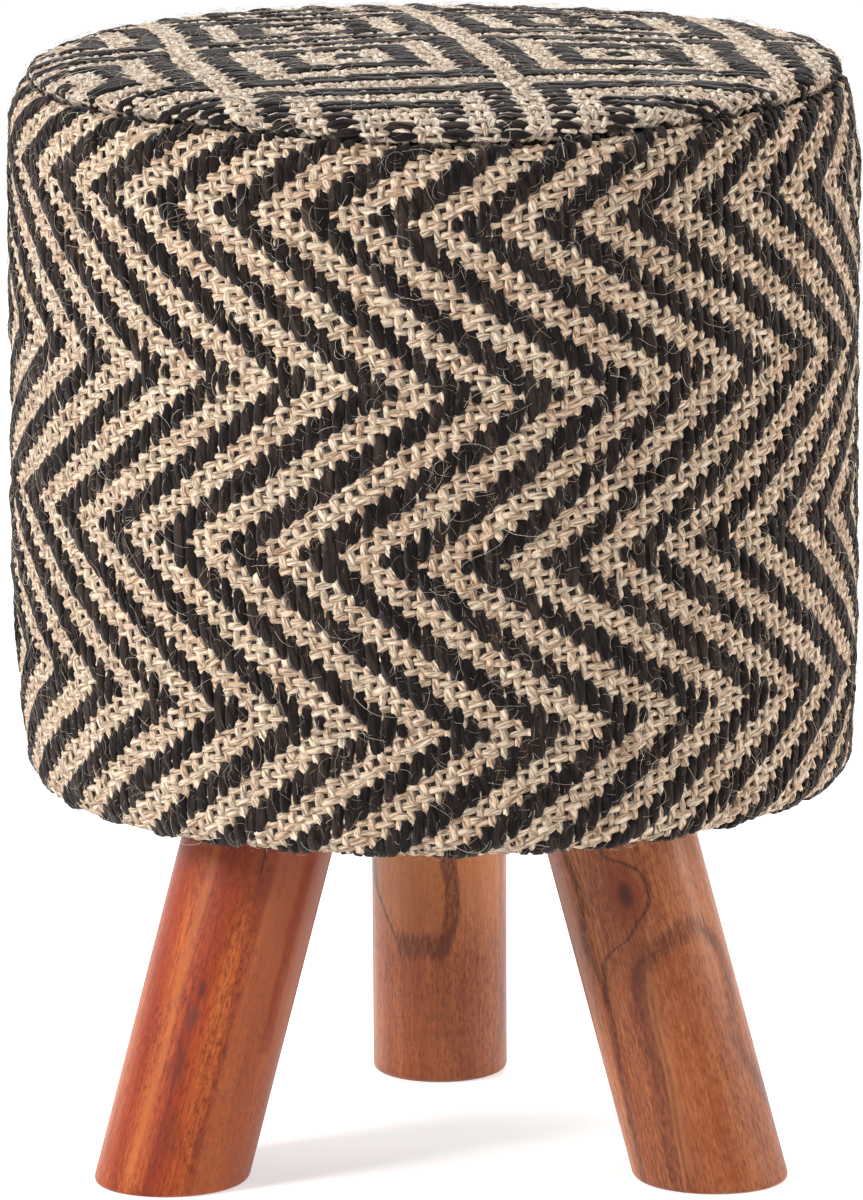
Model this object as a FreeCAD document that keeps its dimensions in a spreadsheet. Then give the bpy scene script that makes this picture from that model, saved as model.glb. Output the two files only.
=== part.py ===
import FreeCAD, Part
import os
import re

import Sketcher

# Round pouf stool: a padded drum under a woven cover, on three splayed legs cut from the round.
# Millimetres, +Z up, origin on the floor under the drum's centre, front of the stool towards -Y.

# Driving dimensions: name, value, what it measures. Angles are in degrees.
SIZES = [
    ("bodyRadius", 175, "outside of the cover at its widest"),
    ("undersideHeight", 162, "floor to the turned-under cover"),
    ("bandHeight", 288, "underside to the seam between side band and top panel"),
    ("shoulderWidth", 8, "how far the band swells out below the seam"),
    ("shoulderDrop", 17, "height over which it does"),
    ("rimRound", 9, "roll of the top panel above the seam"),
    ("crownRise", 6, "how far the seat domes above its rolled rim"),
    ("drawHeight", 98, "height over which the side draws in towards the underside"),
    ("drawIn", 2.5, "how much the side draws in there"),
    ("hemRound", 9, "rounding where the cover turns under"),
    ("hemWidth", 37.5, "flat part of the cover under the drum"),
    ("clothThick", 2.5, "woven jute and wool cloth"),
    ("seamAllowance", 10, "turned-in edges of the top seam"),
    ("easeGap", 0.3, "room left between soft layers"),
    ("wrapThick", 11, "foam round the wall"),
    ("wallThick", 3, "bent hardboard wall"),
    ("wallJoint", 1.5, "gap where the wall's two ends meet"),
    ("baseBoardThick", 15, "plywood base board"),
    ("topBoardThick", 15, "plywood top board"),
    ("seatFoamThick", 40, "foam under the seat"),
    ("rimWadding", 7, "wadding between the foam's edge and the top panel"),
    ("postWidth", 28, "square battens between the boards"),
    ("postInset", 2, "batten's outer corners to the wall"),
    ("postArris", 2, "planed corners of a batten"),
    ("postFirstAngle", 45, "place of the first batten"),
    ("legLeftDiameter", 62, "front left leg"),
    ("legRightDiameter", 62, "front right leg"),
    ("legRearDiameter", 57.5, "rear leg"),
    ("legLeftAngle", 210, "direction in which the leg leans out"),
    ("legRightAngle", 330, "direction in which the leg leans out"),
    ("legRearAngle", 90, "direction in which the leg leans out"),
    ("legInset", 47.3, "centre of a leg's top to the raw edge of the hem"),
    ("splayAngle", 17, "lean of every leg from upright"),
    ("footBevel", 3, "eased edge of the foot"),
    ("boltDiameter", 8, "hanger bolt"),
    ("boltWoodLength", 42, "part of the bolt in the leg"),
    ("boltTipLength", 9, "its tapered wood-screw tip"),
    ("boltStandOut", 2, "end of the bolt past the nut"),
    ("threadGap", 0.05, "running room between bolt and nut"),
    ("barrelDiameter", 10.4, "tee nut's barrel"),
    ("barrelLength", 11, "tee nut's barrel below its flange"),
    ("drillGap", 0.15, "room round the barrel in its drilled hole"),
    ("flangeDiameter", 24, "tee nut's flange"),
    ("flangeThick", 1.6, "tee nut's flange"),
    ("prongLength", 8, "spikes that bite into the board"),
    ("prongThick", 1.6, "a spike at its root"),
    ("prongWidth", 5, "a spike along the flange's edge"),
    ("dustThick", 0.5, "black non-woven dust cover"),
    ("dustLap", 24, "dust cover's lap over the hem"),
    ("dustStep", 7, "sloping part of it, inside the hem's raw edge"),
    ("dustHoleGap", 1, "room round a bolt in the dust cover"),
    ("stapleWidth", 11, "crown of a staple"),
    ("stapleWire", 1.2, "width of its wire"),
    ("stapleThick", 0.6, "thickness of its wire"),
    ("stapleLength", 10, "legs of an upholstery staple"),
    ("longStapleLength", 38, "legs of a staple that holds a batten"),
    ("longStaplePitch", 13, "between the two staples in a batten's end"),
    ("coverStapleInset", 8, "staples through the hem, from its raw edge"),
    ("dustStapleInset", 5, "staples through the dust cover, from its edge"),
]

# Counts of what repeats round the drum.
POST_COUNT = 4
LEG_COUNT = 3
COVER_STAPLE_COUNT = 20
DUST_STAPLE_COUNT = 14
WALL_STAPLE_COUNT = 6

FULL_TURN = 360

document = FreeCAD.newDocument("pouf_stool")
sheet = document.addObject("Spreadsheet::Sheet", "Sizes")
for row, (alias, number, meaning) in enumerate(SIZES, start=1):
    sheet.set("A%d" % row, meaning)
    sheet.set("B%d" % row, str(number))
    sheet.setAlias("B%d" % row, alias)
document.recompute()

ALIASES = {alias for alias, number, meaning in SIZES}

# Places worked out from the sizes, as expressions that the sheet can solve.
# Heights, from the floor up.
BOARD_LOW = "(undersideHeight + clothThick)"
BOARD_TOP = "(%s + baseBoardThick)" % BOARD_LOW
LEG_TOP = "(%s - dustThick)" % BOARD_LOW
DRAW_LOW = "(undersideHeight + hemRound)"
DRAW_TOP = "(undersideHeight + drawHeight)"
CREASE_HEIGHT = "(undersideHeight + bandHeight)"
ALLOWANCE_LOW = "(%s - seamAllowance)" % CREASE_HEIGHT
SHOULDER_LOW = "(%s - shoulderDrop)" % CREASE_HEIGHT
RIM_TOP = "(%s + rimRound)" % CREASE_HEIGHT
FOAM_TOP = "(%s - clothThick - rimWadding)" % RIM_TOP
FOAM_LOW = "(%s - seatFoamThick)" % FOAM_TOP
POST_TOP = "(%s - topBoardThick)" % FOAM_LOW

# Distances from the stool's axis.
CREASE_RADIUS = "(bodyRadius - shoulderWidth)"
RIM_CENTRE = "(%s - rimRound)" % CREASE_RADIUS
LOW_RADIUS = "(bodyRadius - drawIn)"
TURN_RADIUS = "(%s - hemRound)" % LOW_RADIUS
HEM_RADIUS = "(%s - hemWidth)" % TURN_RADIUS
WALL_RADIUS = "(bodyRadius - clothThick - wrapThick - 2 * easeGap)"
BOARD_RADIUS = "(%s - wallThick)" % WALL_RADIUS
POST_RADIUS = "(sqrt((%s - postInset)^2 - (postWidth / 2)^2) - postWidth / 2)" % BOARD_RADIUS
HANG_RADIUS = "(%s - legInset)" % HEM_RADIUS
FOOT_RADIUS = "(%s + %s * tan(splayAngle))" % (HANG_RADIUS, LEG_TOP)
DUST_RADIUS = "(%s + dustLap)" % HEM_RADIUS
DUST_FLAT_RADIUS = "(%s - dustStep)" % HEM_RADIUS
COVER_STAPLE_RADIUS = "(%s + coverStapleInset)" % HEM_RADIUS
DUST_STAPLE_RADIUS = "(%s - dustStapleInset)" % DUST_RADIUS

# Radii of arcs that rise by one named size over the length of another.
SHOULDER_ROUND = "((shoulderWidth^2 + shoulderDrop^2) / (2 * shoulderWidth))"
DRAW_ROUND = "((drawIn^2 + (drawHeight - hemRound)^2) / (2 * drawIn))"
CROWN_ROUND = "((%s^2 + crownRise^2) / (2 * crownRise))" % RIM_CENTRE
SOFT_INSET = "(clothThick + easeGap)"


def sized(text):
    """The expression with each size pointed at its cell in the sheet."""
    def cell(match):
        word = match.group(0)
        return "Sizes." + word if word in ALIASES else word

    return re.sub(r"[A-Za-z]\w*", cell, text)


def value(text):
    """The expression's number now."""
    return float(sheet.evalExpression(sized(text)))


def new_body(label):
    body = document.addObject("PartDesign::Body", label)
    body.Label = label
    return body


def origin_feature(body, role):
    for feature in body.Origin.OriginFeatures:
        if feature.Role == role:
            return feature


def new_sketch(body, name, role, offset=("0", "0", "0")):
    """A sketch on one of the body's own planes, moved by an offset in the plane's axes."""
    sketch = body.newObject("Sketcher::SketchObject", name)
    sketch.AttachmentSupport = [(origin_feature(body, role), "")]
    sketch.MapMode = "FlatFace"
    for letter, text in zip("xyz", offset):
        if text != "0":
            sketch.setExpression("AttachmentOffset.Base." + letter, sized(text))
    return sketch


def fix_point(sketch, geometry, point, x, y):
    """Tie one point to its place, with zero as a point on the axis."""
    for kind, axis, text in (("DistanceX", -2, x), ("DistanceY", -1, y)):
        if text == "0":
            sketch.addConstraint(Sketcher.Constraint("PointOnObject", geometry, point, axis))
        else:
            rule = Sketcher.Constraint(kind, -1, 1, geometry, point, value(text))
            index = sketch.addConstraint(rule)
            sketch.setExpression("Constraints[%d]" % index, sized(text))


def arc_between(start, end, radius, outward):
    """The short arc from start to end, and whether it runs anticlockwise."""
    chord = end - start
    middle = (start + end) / 2
    reach = max(radius * radius - (chord.Length / 2) ** 2, 0) ** 0.5
    left = FreeCAD.Vector(-chord.y, chord.x, 0).normalize()
    centre = middle + left * (reach if outward else -reach)
    circle = Part.Circle(centre, FreeCAD.Vector(0, 0, 1), radius)
    first, last = (start, end) if outward else (end, start)
    return Part.ArcOfCircle(circle, circle.parameter(first), circle.parameter(last))


def draw_outline(sketch, corners, rounds=None):
    """A closed outline, anticlockwise. rounds gives the radius of the arc that follows a corner,
    and True where the arc bulges outwards."""
    rounds = rounds or {}
    places = [FreeCAD.Vector(value(x), value(y), 0) for x, y in corners]
    count = len(corners)
    ends = []
    for number, start in enumerate(places):
        end = places[(number + 1) % count]
        if number in rounds:
            text, outward = rounds[number]
            index = sketch.addGeometry(arc_between(start, end, value(text), outward))
            ends.append((index, 1, 2) if outward else (index, 2, 1))
            rule = sketch.addConstraint(Sketcher.Constraint("Radius", index, value(text)))
            sketch.setExpression("Constraints[%d]" % rule, sized(text))
        else:
            ends.append((sketch.addGeometry(Part.LineSegment(start, end)), 1, 2))
    for number, (x, y) in enumerate(corners):
        before = ends[number - 1]
        after = ends[number]
        rule = Sketcher.Constraint("Coincident", before[0], before[2], after[0], after[1])
        sketch.addConstraint(rule)
        fix_point(sketch, after[0], after[1], x, y)


def draw_circle(sketch, x, y, diameter):
    centre = FreeCAD.Vector(value(x), value(y), 0)
    radius = value(diameter) / 2
    circle = Part.Circle(centre, FreeCAD.Vector(0, 0, 1), radius)
    index = sketch.addGeometry(circle)
    fix_point(sketch, index, 3, x, y)
    rule = sketch.addConstraint(Sketcher.Constraint("Diameter", index, 2 * radius))
    sketch.setExpression("Constraints[%d]" % rule, sized(diameter))


def draw_box(sketch, low_x, low_y, high_x, high_y):
    corners = [(low_x, low_y), (high_x, low_y), (high_x, high_y), (low_x, high_y)]
    draw_outline(sketch, corners)


def revolve(body, sketch):
    """Turn the outline about the sketch's own upright axis."""
    feature = body.newObject("PartDesign::Revolution", sketch.Name + "Turned")
    feature.Profile = sketch
    feature.ReferenceAxis = (sketch, ["V_Axis"])
    feature.Angle = FULL_TURN
    return feature


def pad(body, sketch, length, midplane=False, reversed_way=False):
    feature = body.newObject("PartDesign::Pad", sketch.Name + "Pad")
    feature.Profile = sketch
    feature.setExpression("Length", sized(length))
    feature.Midplane = midplane
    feature.Reversed = reversed_way
    return feature


def pocket_through(body, sketch):
    """Cut the outline right through the body, both ways, and see that it cuts."""
    document.recompute()
    before = body.Shape.Volume
    feature = body.newObject("PartDesign::Pocket", sketch.Name + "Pocket")
    feature.Profile = sketch
    feature.Type = "ThroughAll"
    feature.Midplane = True
    document.recompute()
    assert body.Shape.Volume < before, "%s cuts nothing" % sketch.Name
    return feature


def ring_of(body, features, count, angle=FULL_TURN):
    """Repeat features evenly about the stool's axis."""
    pattern = body.newObject("PartDesign::PolarPattern", features[0].Name + "Ring")
    pattern.Originals = features
    pattern.Axis = (origin_feature(body, "Z_Axis"), [""])
    pattern.Angle = angle
    pattern.Occurrences = count
    body.Tip = pattern
    return pattern


def turn_about_axis(thing, degrees_text):
    """Turn a finished sub-part about the stool's own axis."""
    thing.Placement = FreeCAD.Placement(
        FreeCAD.Vector(0, 0, 0), FreeCAD.Rotation(FreeCAD.Vector(0, 0, 1), value(degrees_text))
    )
    thing.setExpression("Placement.Rotation.Angle", sized(degrees_text))


def cut_from(blank, tools, label):
    """What is driven or set into a piece makes its own hole there."""
    bundle = document.addObject("Part::Compound", label + "_tools")
    bundle.Links = tools
    result = document.addObject("Part::Cut", label)
    result.Base = blank
    result.Tool = bundle
    blank.Label = label + "_blank"
    result.Label = label
    return result


# Round boards and wall of the drum

def round_board(label, low, thick):
    body = new_body(label)
    sketch = new_sketch(body, label + "_disc", "XY_Plane", ("0", "0", low))
    draw_circle(sketch, "0", "0", "2 * " + BOARD_RADIUS)
    pad(body, sketch, thick)
    return body


def base_board():
    """Ply disc, drilled through for the barrels of the three tee nuts."""
    body = round_board("base_board", BOARD_LOW, "baseBoardThick")
    sketch = new_sketch(body, "barrel_hole", "XY_Plane")
    draw_circle(sketch, HANG_RADIUS, "0", "barrelDiameter + 2 * drillGap")
    hole = pocket_through(body, sketch)
    ring_of(body, [hole], LEG_COUNT)
    turn_about_axis(body, "legRearAngle")
    return body


def drum_wall():
    """A strip of thin hardboard bent round the edges of both boards, from underside to top."""
    body = new_body("drum_wall")
    sketch = new_sketch(body, "wall_section", "XZ_Plane")
    draw_box(sketch, BOARD_RADIUS, BOARD_LOW, WALL_RADIUS, FOAM_LOW)
    strip = revolve(body, sketch)
    joint_angle = "wallJoint / %s * 180 / pi" % BOARD_RADIUS
    strip.setExpression("Angle", sized("%d - %s" % (FULL_TURN, joint_angle)))
    turn_about_axis(body, "legRearAngle")
    return body


def frame_post(number):
    """Square batten that stands between the boards, with its long arrises planed off."""
    label = "frame_post_%d" % (number + 1)
    body = new_body(label)
    sketch = new_sketch(body, label + "_section", "XY_Plane", ("0", "0", BOARD_TOP))
    inner = "(%s - postWidth / 2)" % POST_RADIUS
    outer = "(%s + postWidth / 2)" % POST_RADIUS
    draw_box(sketch, inner, "-postWidth / 2", outer, "postWidth / 2")
    block = pad(body, sketch, "%s - %s" % (POST_TOP, BOARD_TOP))
    document.recompute()
    upright = [
        "Edge%d" % (index + 1)
        for index, edge in enumerate(block.Shape.Edges)
        if edge.BoundBox.ZLength > value("postWidth")
    ]
    arris = body.newObject("PartDesign::Chamfer", label + "_arris")
    arris.Base = (block, upright)
    arris.setExpression("Size", sized("postArris"))
    body.Tip = arris
    turn_about_axis(body, "postFirstAngle + %d * %d / %d" % (FULL_TURN, number, POST_COUNT))
    return body


# Fasteners

def staple_corners(crown, way, length="stapleLength"):
    """A staple's outline from its crown, legs towards way, in tangent and depth directions."""
    outer = "stapleWidth / 2"
    inner = "(stapleWidth / 2 - stapleThick)"
    tip = "%s + %d * %s" % (crown, way, length)
    bridge = "%s + %d * stapleThick" % (crown, way)
    corners = [
        ("-" + outer, crown),
        (outer, crown),
        (outer, tip),
        (inner, tip),
        (inner, bridge),
        ("-" + inner, bridge),
        ("-" + inner, tip),
        ("-" + outer, tip),
    ]
    return corners if way > 0 else corners[::-1]


def post_staples(label, crown, way):
    """Two long staples through a board into the end of each batten, crowns flush."""
    body = new_body(label)
    for name, side in (("inner", -1), ("outer", 1)):
        place = "%s + %d * longStaplePitch / 2" % (POST_RADIUS, side)
        sketch = new_sketch(body, "%s_%s" % (label, name), "YZ_Plane", ("0", "0", place))
        draw_outline(sketch, staple_corners(crown, way, "longStapleLength"))
        staple = pad(body, sketch, "stapleWire", midplane=True)
        ring_of(body, [staple], POST_COUNT)
    turn_about_axis(body, "postFirstAngle")
    return body


def underside_staples(label, crown, radius, count):
    """Staples driven up into the base board, crowns along the edge."""
    body = new_body(label)
    sketch = new_sketch(body, label + "_outline", "YZ_Plane", ("0", "0", radius))
    draw_outline(sketch, staple_corners(crown, 1))
    staple = pad(body, sketch, "stapleWire", midplane=True)
    ring_of(body, [staple], count)
    return body


def wall_staples():
    """Staples through the wall into the edge of each board, crowns flush with the wall."""
    body = new_body("wall_staples")
    rows = {
        "low": "%s + baseBoardThick / 2" % BOARD_LOW,
        "top": "%s + topBoardThick / 2" % POST_TOP,
    }
    for name, height in rows.items():
        sketch = new_sketch(body, "wall_staple_" + name, "XY_Plane", ("0", "0", height))
        corners = [(depth, across) for across, depth in staple_corners(WALL_RADIUS, -1)]
        draw_outline(sketch, corners[::-1])
        staple = pad(body, sketch, "stapleWire", midplane=True)
        ring_of(body, [staple], WALL_STAPLE_COUNT)
    return body


def hanger_bolts():
    """Wood screw below and machine thread above, square to the leg's mitred top."""
    body = new_body("hanger_bolts")
    sketch = new_sketch(body, "bolt_outline", "XZ_Plane", (HANG_RADIUS, "0", "0"))
    top = "(%s + flangeThick + boltStandOut)" % BOARD_TOP
    low = "(%s - boltWoodLength)" % LEG_TOP
    draw_outline(sketch, [
        ("0", low),
        ("boltDiameter / 2", "%s + boltTipLength" % low),
        ("boltDiameter / 2", top),
        ("0", top),
    ])
    bolt = revolve(body, sketch)
    ring_of(body, [bolt], LEG_COUNT)
    turn_about_axis(body, "legRearAngle")
    return body


def tee_nuts():
    """Flanged nuts set in from inside the drum, each with a barrel and four spikes."""
    body = new_body("tee_nuts")
    sketch = new_sketch(body, "nut_outline", "XZ_Plane", (HANG_RADIUS, "0", "0"))
    bore = "boltDiameter / 2 + threadGap"
    flange_top = "%s + flangeThick" % BOARD_TOP
    draw_outline(sketch, [
        (bore, "%s - barrelLength" % BOARD_TOP),
        ("barrelDiameter / 2", "%s - barrelLength" % BOARD_TOP),
        ("barrelDiameter / 2", BOARD_TOP),
        ("flangeDiameter / 2", BOARD_TOP),
        ("flangeDiameter / 2", flange_top),
        (bore, flange_top),
    ])
    nut = revolve(body, sketch)
    spikes = []
    edge = "sqrt((flangeDiameter / 2)^2 - (prongWidth / 2)^2)"
    for name, role, offset in (
        ("spikes_out", "XZ_Plane", (HANG_RADIUS, "0", "0")),
        ("spikes_across", "YZ_Plane", ("0", "0", HANG_RADIUS)),
    ):
        for side in (1, -1):
            title = "%s_%s" % (name, "near" if side > 0 else "far")
            sketch = new_sketch(body, title, role, offset)
            corners = [
                ("%d * (%s - prongThick)" % (side, edge), BOARD_TOP),
                ("%d * %s" % (side, edge), "%s - prongLength" % BOARD_TOP),
                ("%d * %s" % (side, edge), BOARD_TOP),
            ]
            if side < 0:
                corners.reverse()
            draw_outline(sketch, corners)
            spikes.append(pad(body, sketch, "prongWidth", midplane=True))
    ring_of(body, [nut] + spikes, LEG_COUNT)
    turn_about_axis(body, "legRearAngle")
    return body


# Legs

def leg(label, diameter, angle):
    """A length of branch wood, turned round, leaned out and sawn level at floor and drum."""
    body = new_body(label)
    sketch = new_sketch(body, label + "_round", "XY_Plane", (FOOT_RADIUS, "0", "0"))
    sketch.AttachmentOffset = FreeCAD.Placement(
        sketch.AttachmentOffset.Base,
        FreeCAD.Rotation(FreeCAD.Vector(0, -1, 0), value("splayAngle")),
    )
    sketch.setExpression("AttachmentOffset.Rotation.Angle", sized("splayAngle"))
    draw_circle(sketch, "0", "0", diameter)
    pad(body, sketch, "2 * (%s / cos(splayAngle) + %s)" % (LEG_TOP, diameter), midplane=True)

    waste = new_sketch(body, label + "_saw_cuts", "XZ_Plane")
    reach = "(%s + 2 * %s)" % (FOOT_RADIUS, diameter)
    draw_box(waste, "-" + reach, "-2 * %s" % LEG_TOP, "2 * " + reach, "0")
    draw_box(waste, "-" + reach, LEG_TOP, "2 * " + reach, "3 * %s" % LEG_TOP)
    sawn = pocket_through(body, waste)

    foot = [
        "Edge%d" % (index + 1)
        for index, edge in enumerate(sawn.Shape.Edges)
        if edge.BoundBox.ZMax < value("footBevel")
    ]
    eased = body.newObject("PartDesign::Chamfer", label + "_foot_edge")
    eased.Base = (sawn, foot)
    eased.setExpression("Size", sized("footBevel"))
    body.Tip = eased
    turn_about_axis(body, angle)
    return body


# Padding and covers

def seat_foam():
    """Foam disc glued to the top board."""
    body = new_body("seat_foam")
    sketch = new_sketch(body, "foam_disc", "XY_Plane", ("0", "0", FOAM_LOW))
    draw_circle(sketch, "0", "0", "2 * %s" % WALL_RADIUS)
    pad(body, sketch, "seatFoamThick")
    return body


def side_foam_wrap():
    """Foam sheet round the wall and the seat foam, rounded where the cover turns under."""
    body = new_body("side_foam_wrap")
    sketch = new_sketch(body, "wrap_section", "XZ_Plane")
    inner = "(%s + easeGap)" % WALL_RADIUS
    draw_outline(sketch, [
        (inner, BOARD_LOW + " + easeGap"),
        (TURN_RADIUS, BOARD_LOW + " + easeGap"),
        ("%s - %s" % (LOW_RADIUS, SOFT_INSET), DRAW_LOW),
        ("bodyRadius - " + SOFT_INSET, DRAW_TOP),
        ("bodyRadius - " + SOFT_INSET, ALLOWANCE_LOW),
        (inner, ALLOWANCE_LOW),
    ])
    revolve(body, sketch)
    return body


def seat_wadding():
    """Fibre wadding over the seat foam, thickest in the middle, folded down over its edge."""
    body = new_body("seat_wadding")
    sketch = new_sketch(body, "wadding_section", "XZ_Plane")
    draw_outline(sketch, [
        ("0", FOAM_TOP),
        (WALL_RADIUS + " + easeGap", FOAM_TOP),
        (WALL_RADIUS + " + easeGap", ALLOWANCE_LOW),
        ("%s - %s" % (CREASE_RADIUS, SOFT_INSET), ALLOWANCE_LOW),
        ("%s - %s" % (CREASE_RADIUS, SOFT_INSET), CREASE_HEIGHT),
        (RIM_CENTRE, "%s - %s" % (RIM_TOP, SOFT_INSET)),
        ("0", "%s + crownRise - %s" % (RIM_TOP, SOFT_INSET)),
    ])
    revolve(body, sketch)
    return body


def top_cover_panel():
    """Round of cloth with a rolled rim, its edge turned down inside the top seam."""
    body = new_body("top_cover_panel")
    sketch = new_sketch(body, "panel_section", "XZ_Plane")
    draw_outline(sketch, [
        ("0", "%s + crownRise - clothThick" % RIM_TOP),
        (RIM_CENTRE, "%s - clothThick" % RIM_TOP),
        (CREASE_RADIUS + " - clothThick", CREASE_HEIGHT),
        (CREASE_RADIUS + " - clothThick", ALLOWANCE_LOW),
        (CREASE_RADIUS, ALLOWANCE_LOW),
        (CREASE_RADIUS, CREASE_HEIGHT),
        (RIM_CENTRE, RIM_TOP),
        ("0", "%s + crownRise" % RIM_TOP),
    ], {
        5: ("rimRound", True),
        6: (CROWN_ROUND, True),
    })
    revolve(body, sketch)
    return body


def side_cover_band():
    """Strip of cloth round the drum: turned in at the top seam, swelling out below it, drawn in
    towards the underside and turned under the base board as a flat hem."""
    body = new_body("side_cover_band")
    sketch = new_sketch(body, "band_section", "XZ_Plane")
    flap = "(%s + clothThick)" % CREASE_RADIUS
    inner_round = "(%s - clothThick)" % SHOULDER_ROUND
    run = "(clothThick - shoulderWidth + %s)" % SHOULDER_ROUND
    under_shoulder = "%s + sqrt(%s^2 - %s^2)" % (SHOULDER_LOW, inner_round, run)
    draw_outline(sketch, [
        (CREASE_RADIUS, ALLOWANCE_LOW),
        (flap, ALLOWANCE_LOW),
        (flap, under_shoulder),
        ("bodyRadius - clothThick", SHOULDER_LOW),
        ("bodyRadius - clothThick", DRAW_TOP),
        (LOW_RADIUS + " - clothThick", DRAW_LOW),
        (TURN_RADIUS, BOARD_LOW),
        (HEM_RADIUS, BOARD_LOW),
        (HEM_RADIUS, "undersideHeight"),
        (TURN_RADIUS, "undersideHeight"),
        (LOW_RADIUS, DRAW_LOW),
        ("bodyRadius", DRAW_TOP),
        ("bodyRadius", SHOULDER_LOW),
        (CREASE_RADIUS, CREASE_HEIGHT),
    ], {
        9: ("hemRound", True),
        10: (DRAW_ROUND, True),
        12: (SHOULDER_ROUND, True),
    })
    revolve(body, sketch)
    return body


def dust_cover():
    """Thin black disc over the base board, stepping down over the hem, with three bolt holes."""
    body = new_body("dust_cover")
    sketch = new_sketch(body, "dust_section", "XZ_Plane")
    step = "(%s - dustThick)" % HEM_RADIUS
    draw_outline(sketch, [
        ("0", LEG_TOP),
        (DUST_FLAT_RADIUS, LEG_TOP),
        (step, "undersideHeight - dustThick"),
        (DUST_RADIUS, "undersideHeight - dustThick"),
        (DUST_RADIUS, "undersideHeight"),
        (step, "undersideHeight"),
        (DUST_FLAT_RADIUS, BOARD_LOW),
        ("0", BOARD_LOW),
    ])
    revolve(body, sketch)
    hole = new_sketch(body, "dust_hole", "XY_Plane")
    draw_circle(hole, HANG_RADIUS, "0", "boltDiameter + 2 * dustHoleGap")
    cut = pocket_through(body, hole)
    ring_of(body, [cut], LEG_COUNT)
    turn_about_axis(body, "legRearAngle")
    return body


# Assembly: fasteners first, because each cuts its own hole in what it holds

bolts = hanger_bolts()
nuts = tee_nuts()
staples_base = post_staples("post_staples_base", BOARD_LOW, 1)
staples_top = post_staples("post_staples_top", FOAM_LOW, -1)
staples_cover = underside_staples(
    "cover_staples", "undersideHeight", COVER_STAPLE_RADIUS, COVER_STAPLE_COUNT)
staples_dust = underside_staples(
    "dust_cover_staples",
    "undersideHeight - dustThick - stapleThick", DUST_STAPLE_RADIUS, DUST_STAPLE_COUNT)
staples_wall = wall_staples()
turn_about_axis(staples_dust, "%d / %d / 2" % (FULL_TURN, DUST_STAPLE_COUNT))

pieces = [
    bolts,
    nuts,
    staples_base,
    staples_top,
    staples_cover,
    staples_dust,
    staples_wall,
    cut_from(
        base_board(),
        [nuts, staples_base, staples_cover, staples_dust, staples_wall],
        "base_board",
    ),
    cut_from(
        round_board("top_board", POST_TOP, "topBoardThick"),
        [staples_top, staples_wall],
        "top_board",
    ),
    cut_from(drum_wall(), [staples_wall], "drum_wall"),
    seat_foam(),
    side_foam_wrap(),
    seat_wadding(),
    top_cover_panel(),
    cut_from(side_cover_band(), [staples_cover, staples_dust], "side_cover_band"),
    cut_from(dust_cover(), [staples_dust], "dust_cover"),
    cut_from(leg("leg_left", "legLeftDiameter", "legLeftAngle"), [bolts], "leg_left"),
    cut_from(leg("leg_right", "legRightDiameter", "legRightAngle"), [bolts], "leg_right"),
    cut_from(leg("leg_rear", "legRearDiameter", "legRearAngle"), [bolts], "leg_rear"),
]
for number in range(POST_COUNT):
    post = frame_post(number)
    pieces.append(cut_from(post, [staples_base, staples_top], post.Label))

document.recompute()

for thing in document.Objects:
    assert not {"Invalid", "Error"} & set(thing.State), "%s failed" % thing.Label
for piece in pieces:
    shape = piece.Shape
    assert not shape.isNull() and shape.isValid(), "%s has no sound shape" % piece.Label
    assert shape.Solids, "%s has no solid" % piece.Label

os.makedirs("parts", exist_ok=True)
for piece in pieces:
    piece.Shape.exportStep("parts/%s.step" % piece.Label)
    box = piece.Shape.BoundBox
    print("%-20s solids %2d  volume %9.0f  z %6.1f to %6.1f" % (
        piece.Label, len(piece.Shape.Solids), piece.Shape.Volume, box.ZMin, box.ZMax))
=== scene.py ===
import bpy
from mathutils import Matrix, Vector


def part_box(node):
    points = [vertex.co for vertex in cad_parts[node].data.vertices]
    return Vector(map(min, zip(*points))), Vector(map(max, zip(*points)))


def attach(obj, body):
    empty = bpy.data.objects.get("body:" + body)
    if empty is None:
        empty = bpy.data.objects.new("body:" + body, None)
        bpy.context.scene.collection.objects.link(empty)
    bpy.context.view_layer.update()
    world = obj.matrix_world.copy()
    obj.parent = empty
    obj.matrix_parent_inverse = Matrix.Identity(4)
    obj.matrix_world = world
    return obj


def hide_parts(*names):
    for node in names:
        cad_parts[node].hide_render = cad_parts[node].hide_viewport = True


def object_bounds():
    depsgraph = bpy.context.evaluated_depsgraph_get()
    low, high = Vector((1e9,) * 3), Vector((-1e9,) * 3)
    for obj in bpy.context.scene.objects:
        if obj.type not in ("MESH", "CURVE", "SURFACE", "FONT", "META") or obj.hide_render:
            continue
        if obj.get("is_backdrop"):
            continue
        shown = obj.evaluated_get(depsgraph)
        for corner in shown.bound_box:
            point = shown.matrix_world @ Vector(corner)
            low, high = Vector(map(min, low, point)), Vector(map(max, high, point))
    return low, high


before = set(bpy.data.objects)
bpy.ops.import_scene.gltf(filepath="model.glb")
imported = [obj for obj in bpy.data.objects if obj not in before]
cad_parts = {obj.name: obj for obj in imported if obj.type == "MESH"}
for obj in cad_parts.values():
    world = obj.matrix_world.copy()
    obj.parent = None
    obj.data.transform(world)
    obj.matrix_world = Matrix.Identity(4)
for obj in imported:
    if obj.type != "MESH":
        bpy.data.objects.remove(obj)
cad_low, cad_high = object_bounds()
print("CAD box in metres:", [round(v, 4) for v in cad_low], [round(v, 4) for v in cad_high])

# %% [markdown]
# # A woven pouf stool
# The stool is a padded drum on three branch-wood legs. Its cover is coarse jute cloth with plump
# black wool yarns that float over it in zigzags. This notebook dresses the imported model: it keeps
# every piece where the construction says it is, and makes cloth, yarn, wood and padding look real.
# The sizes below come from the frame, so the looks follow the construction.

# %% Tools and sizes
import json
import math

import bpy
import numpy as np
from mathutils import Matrix, Vector

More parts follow.
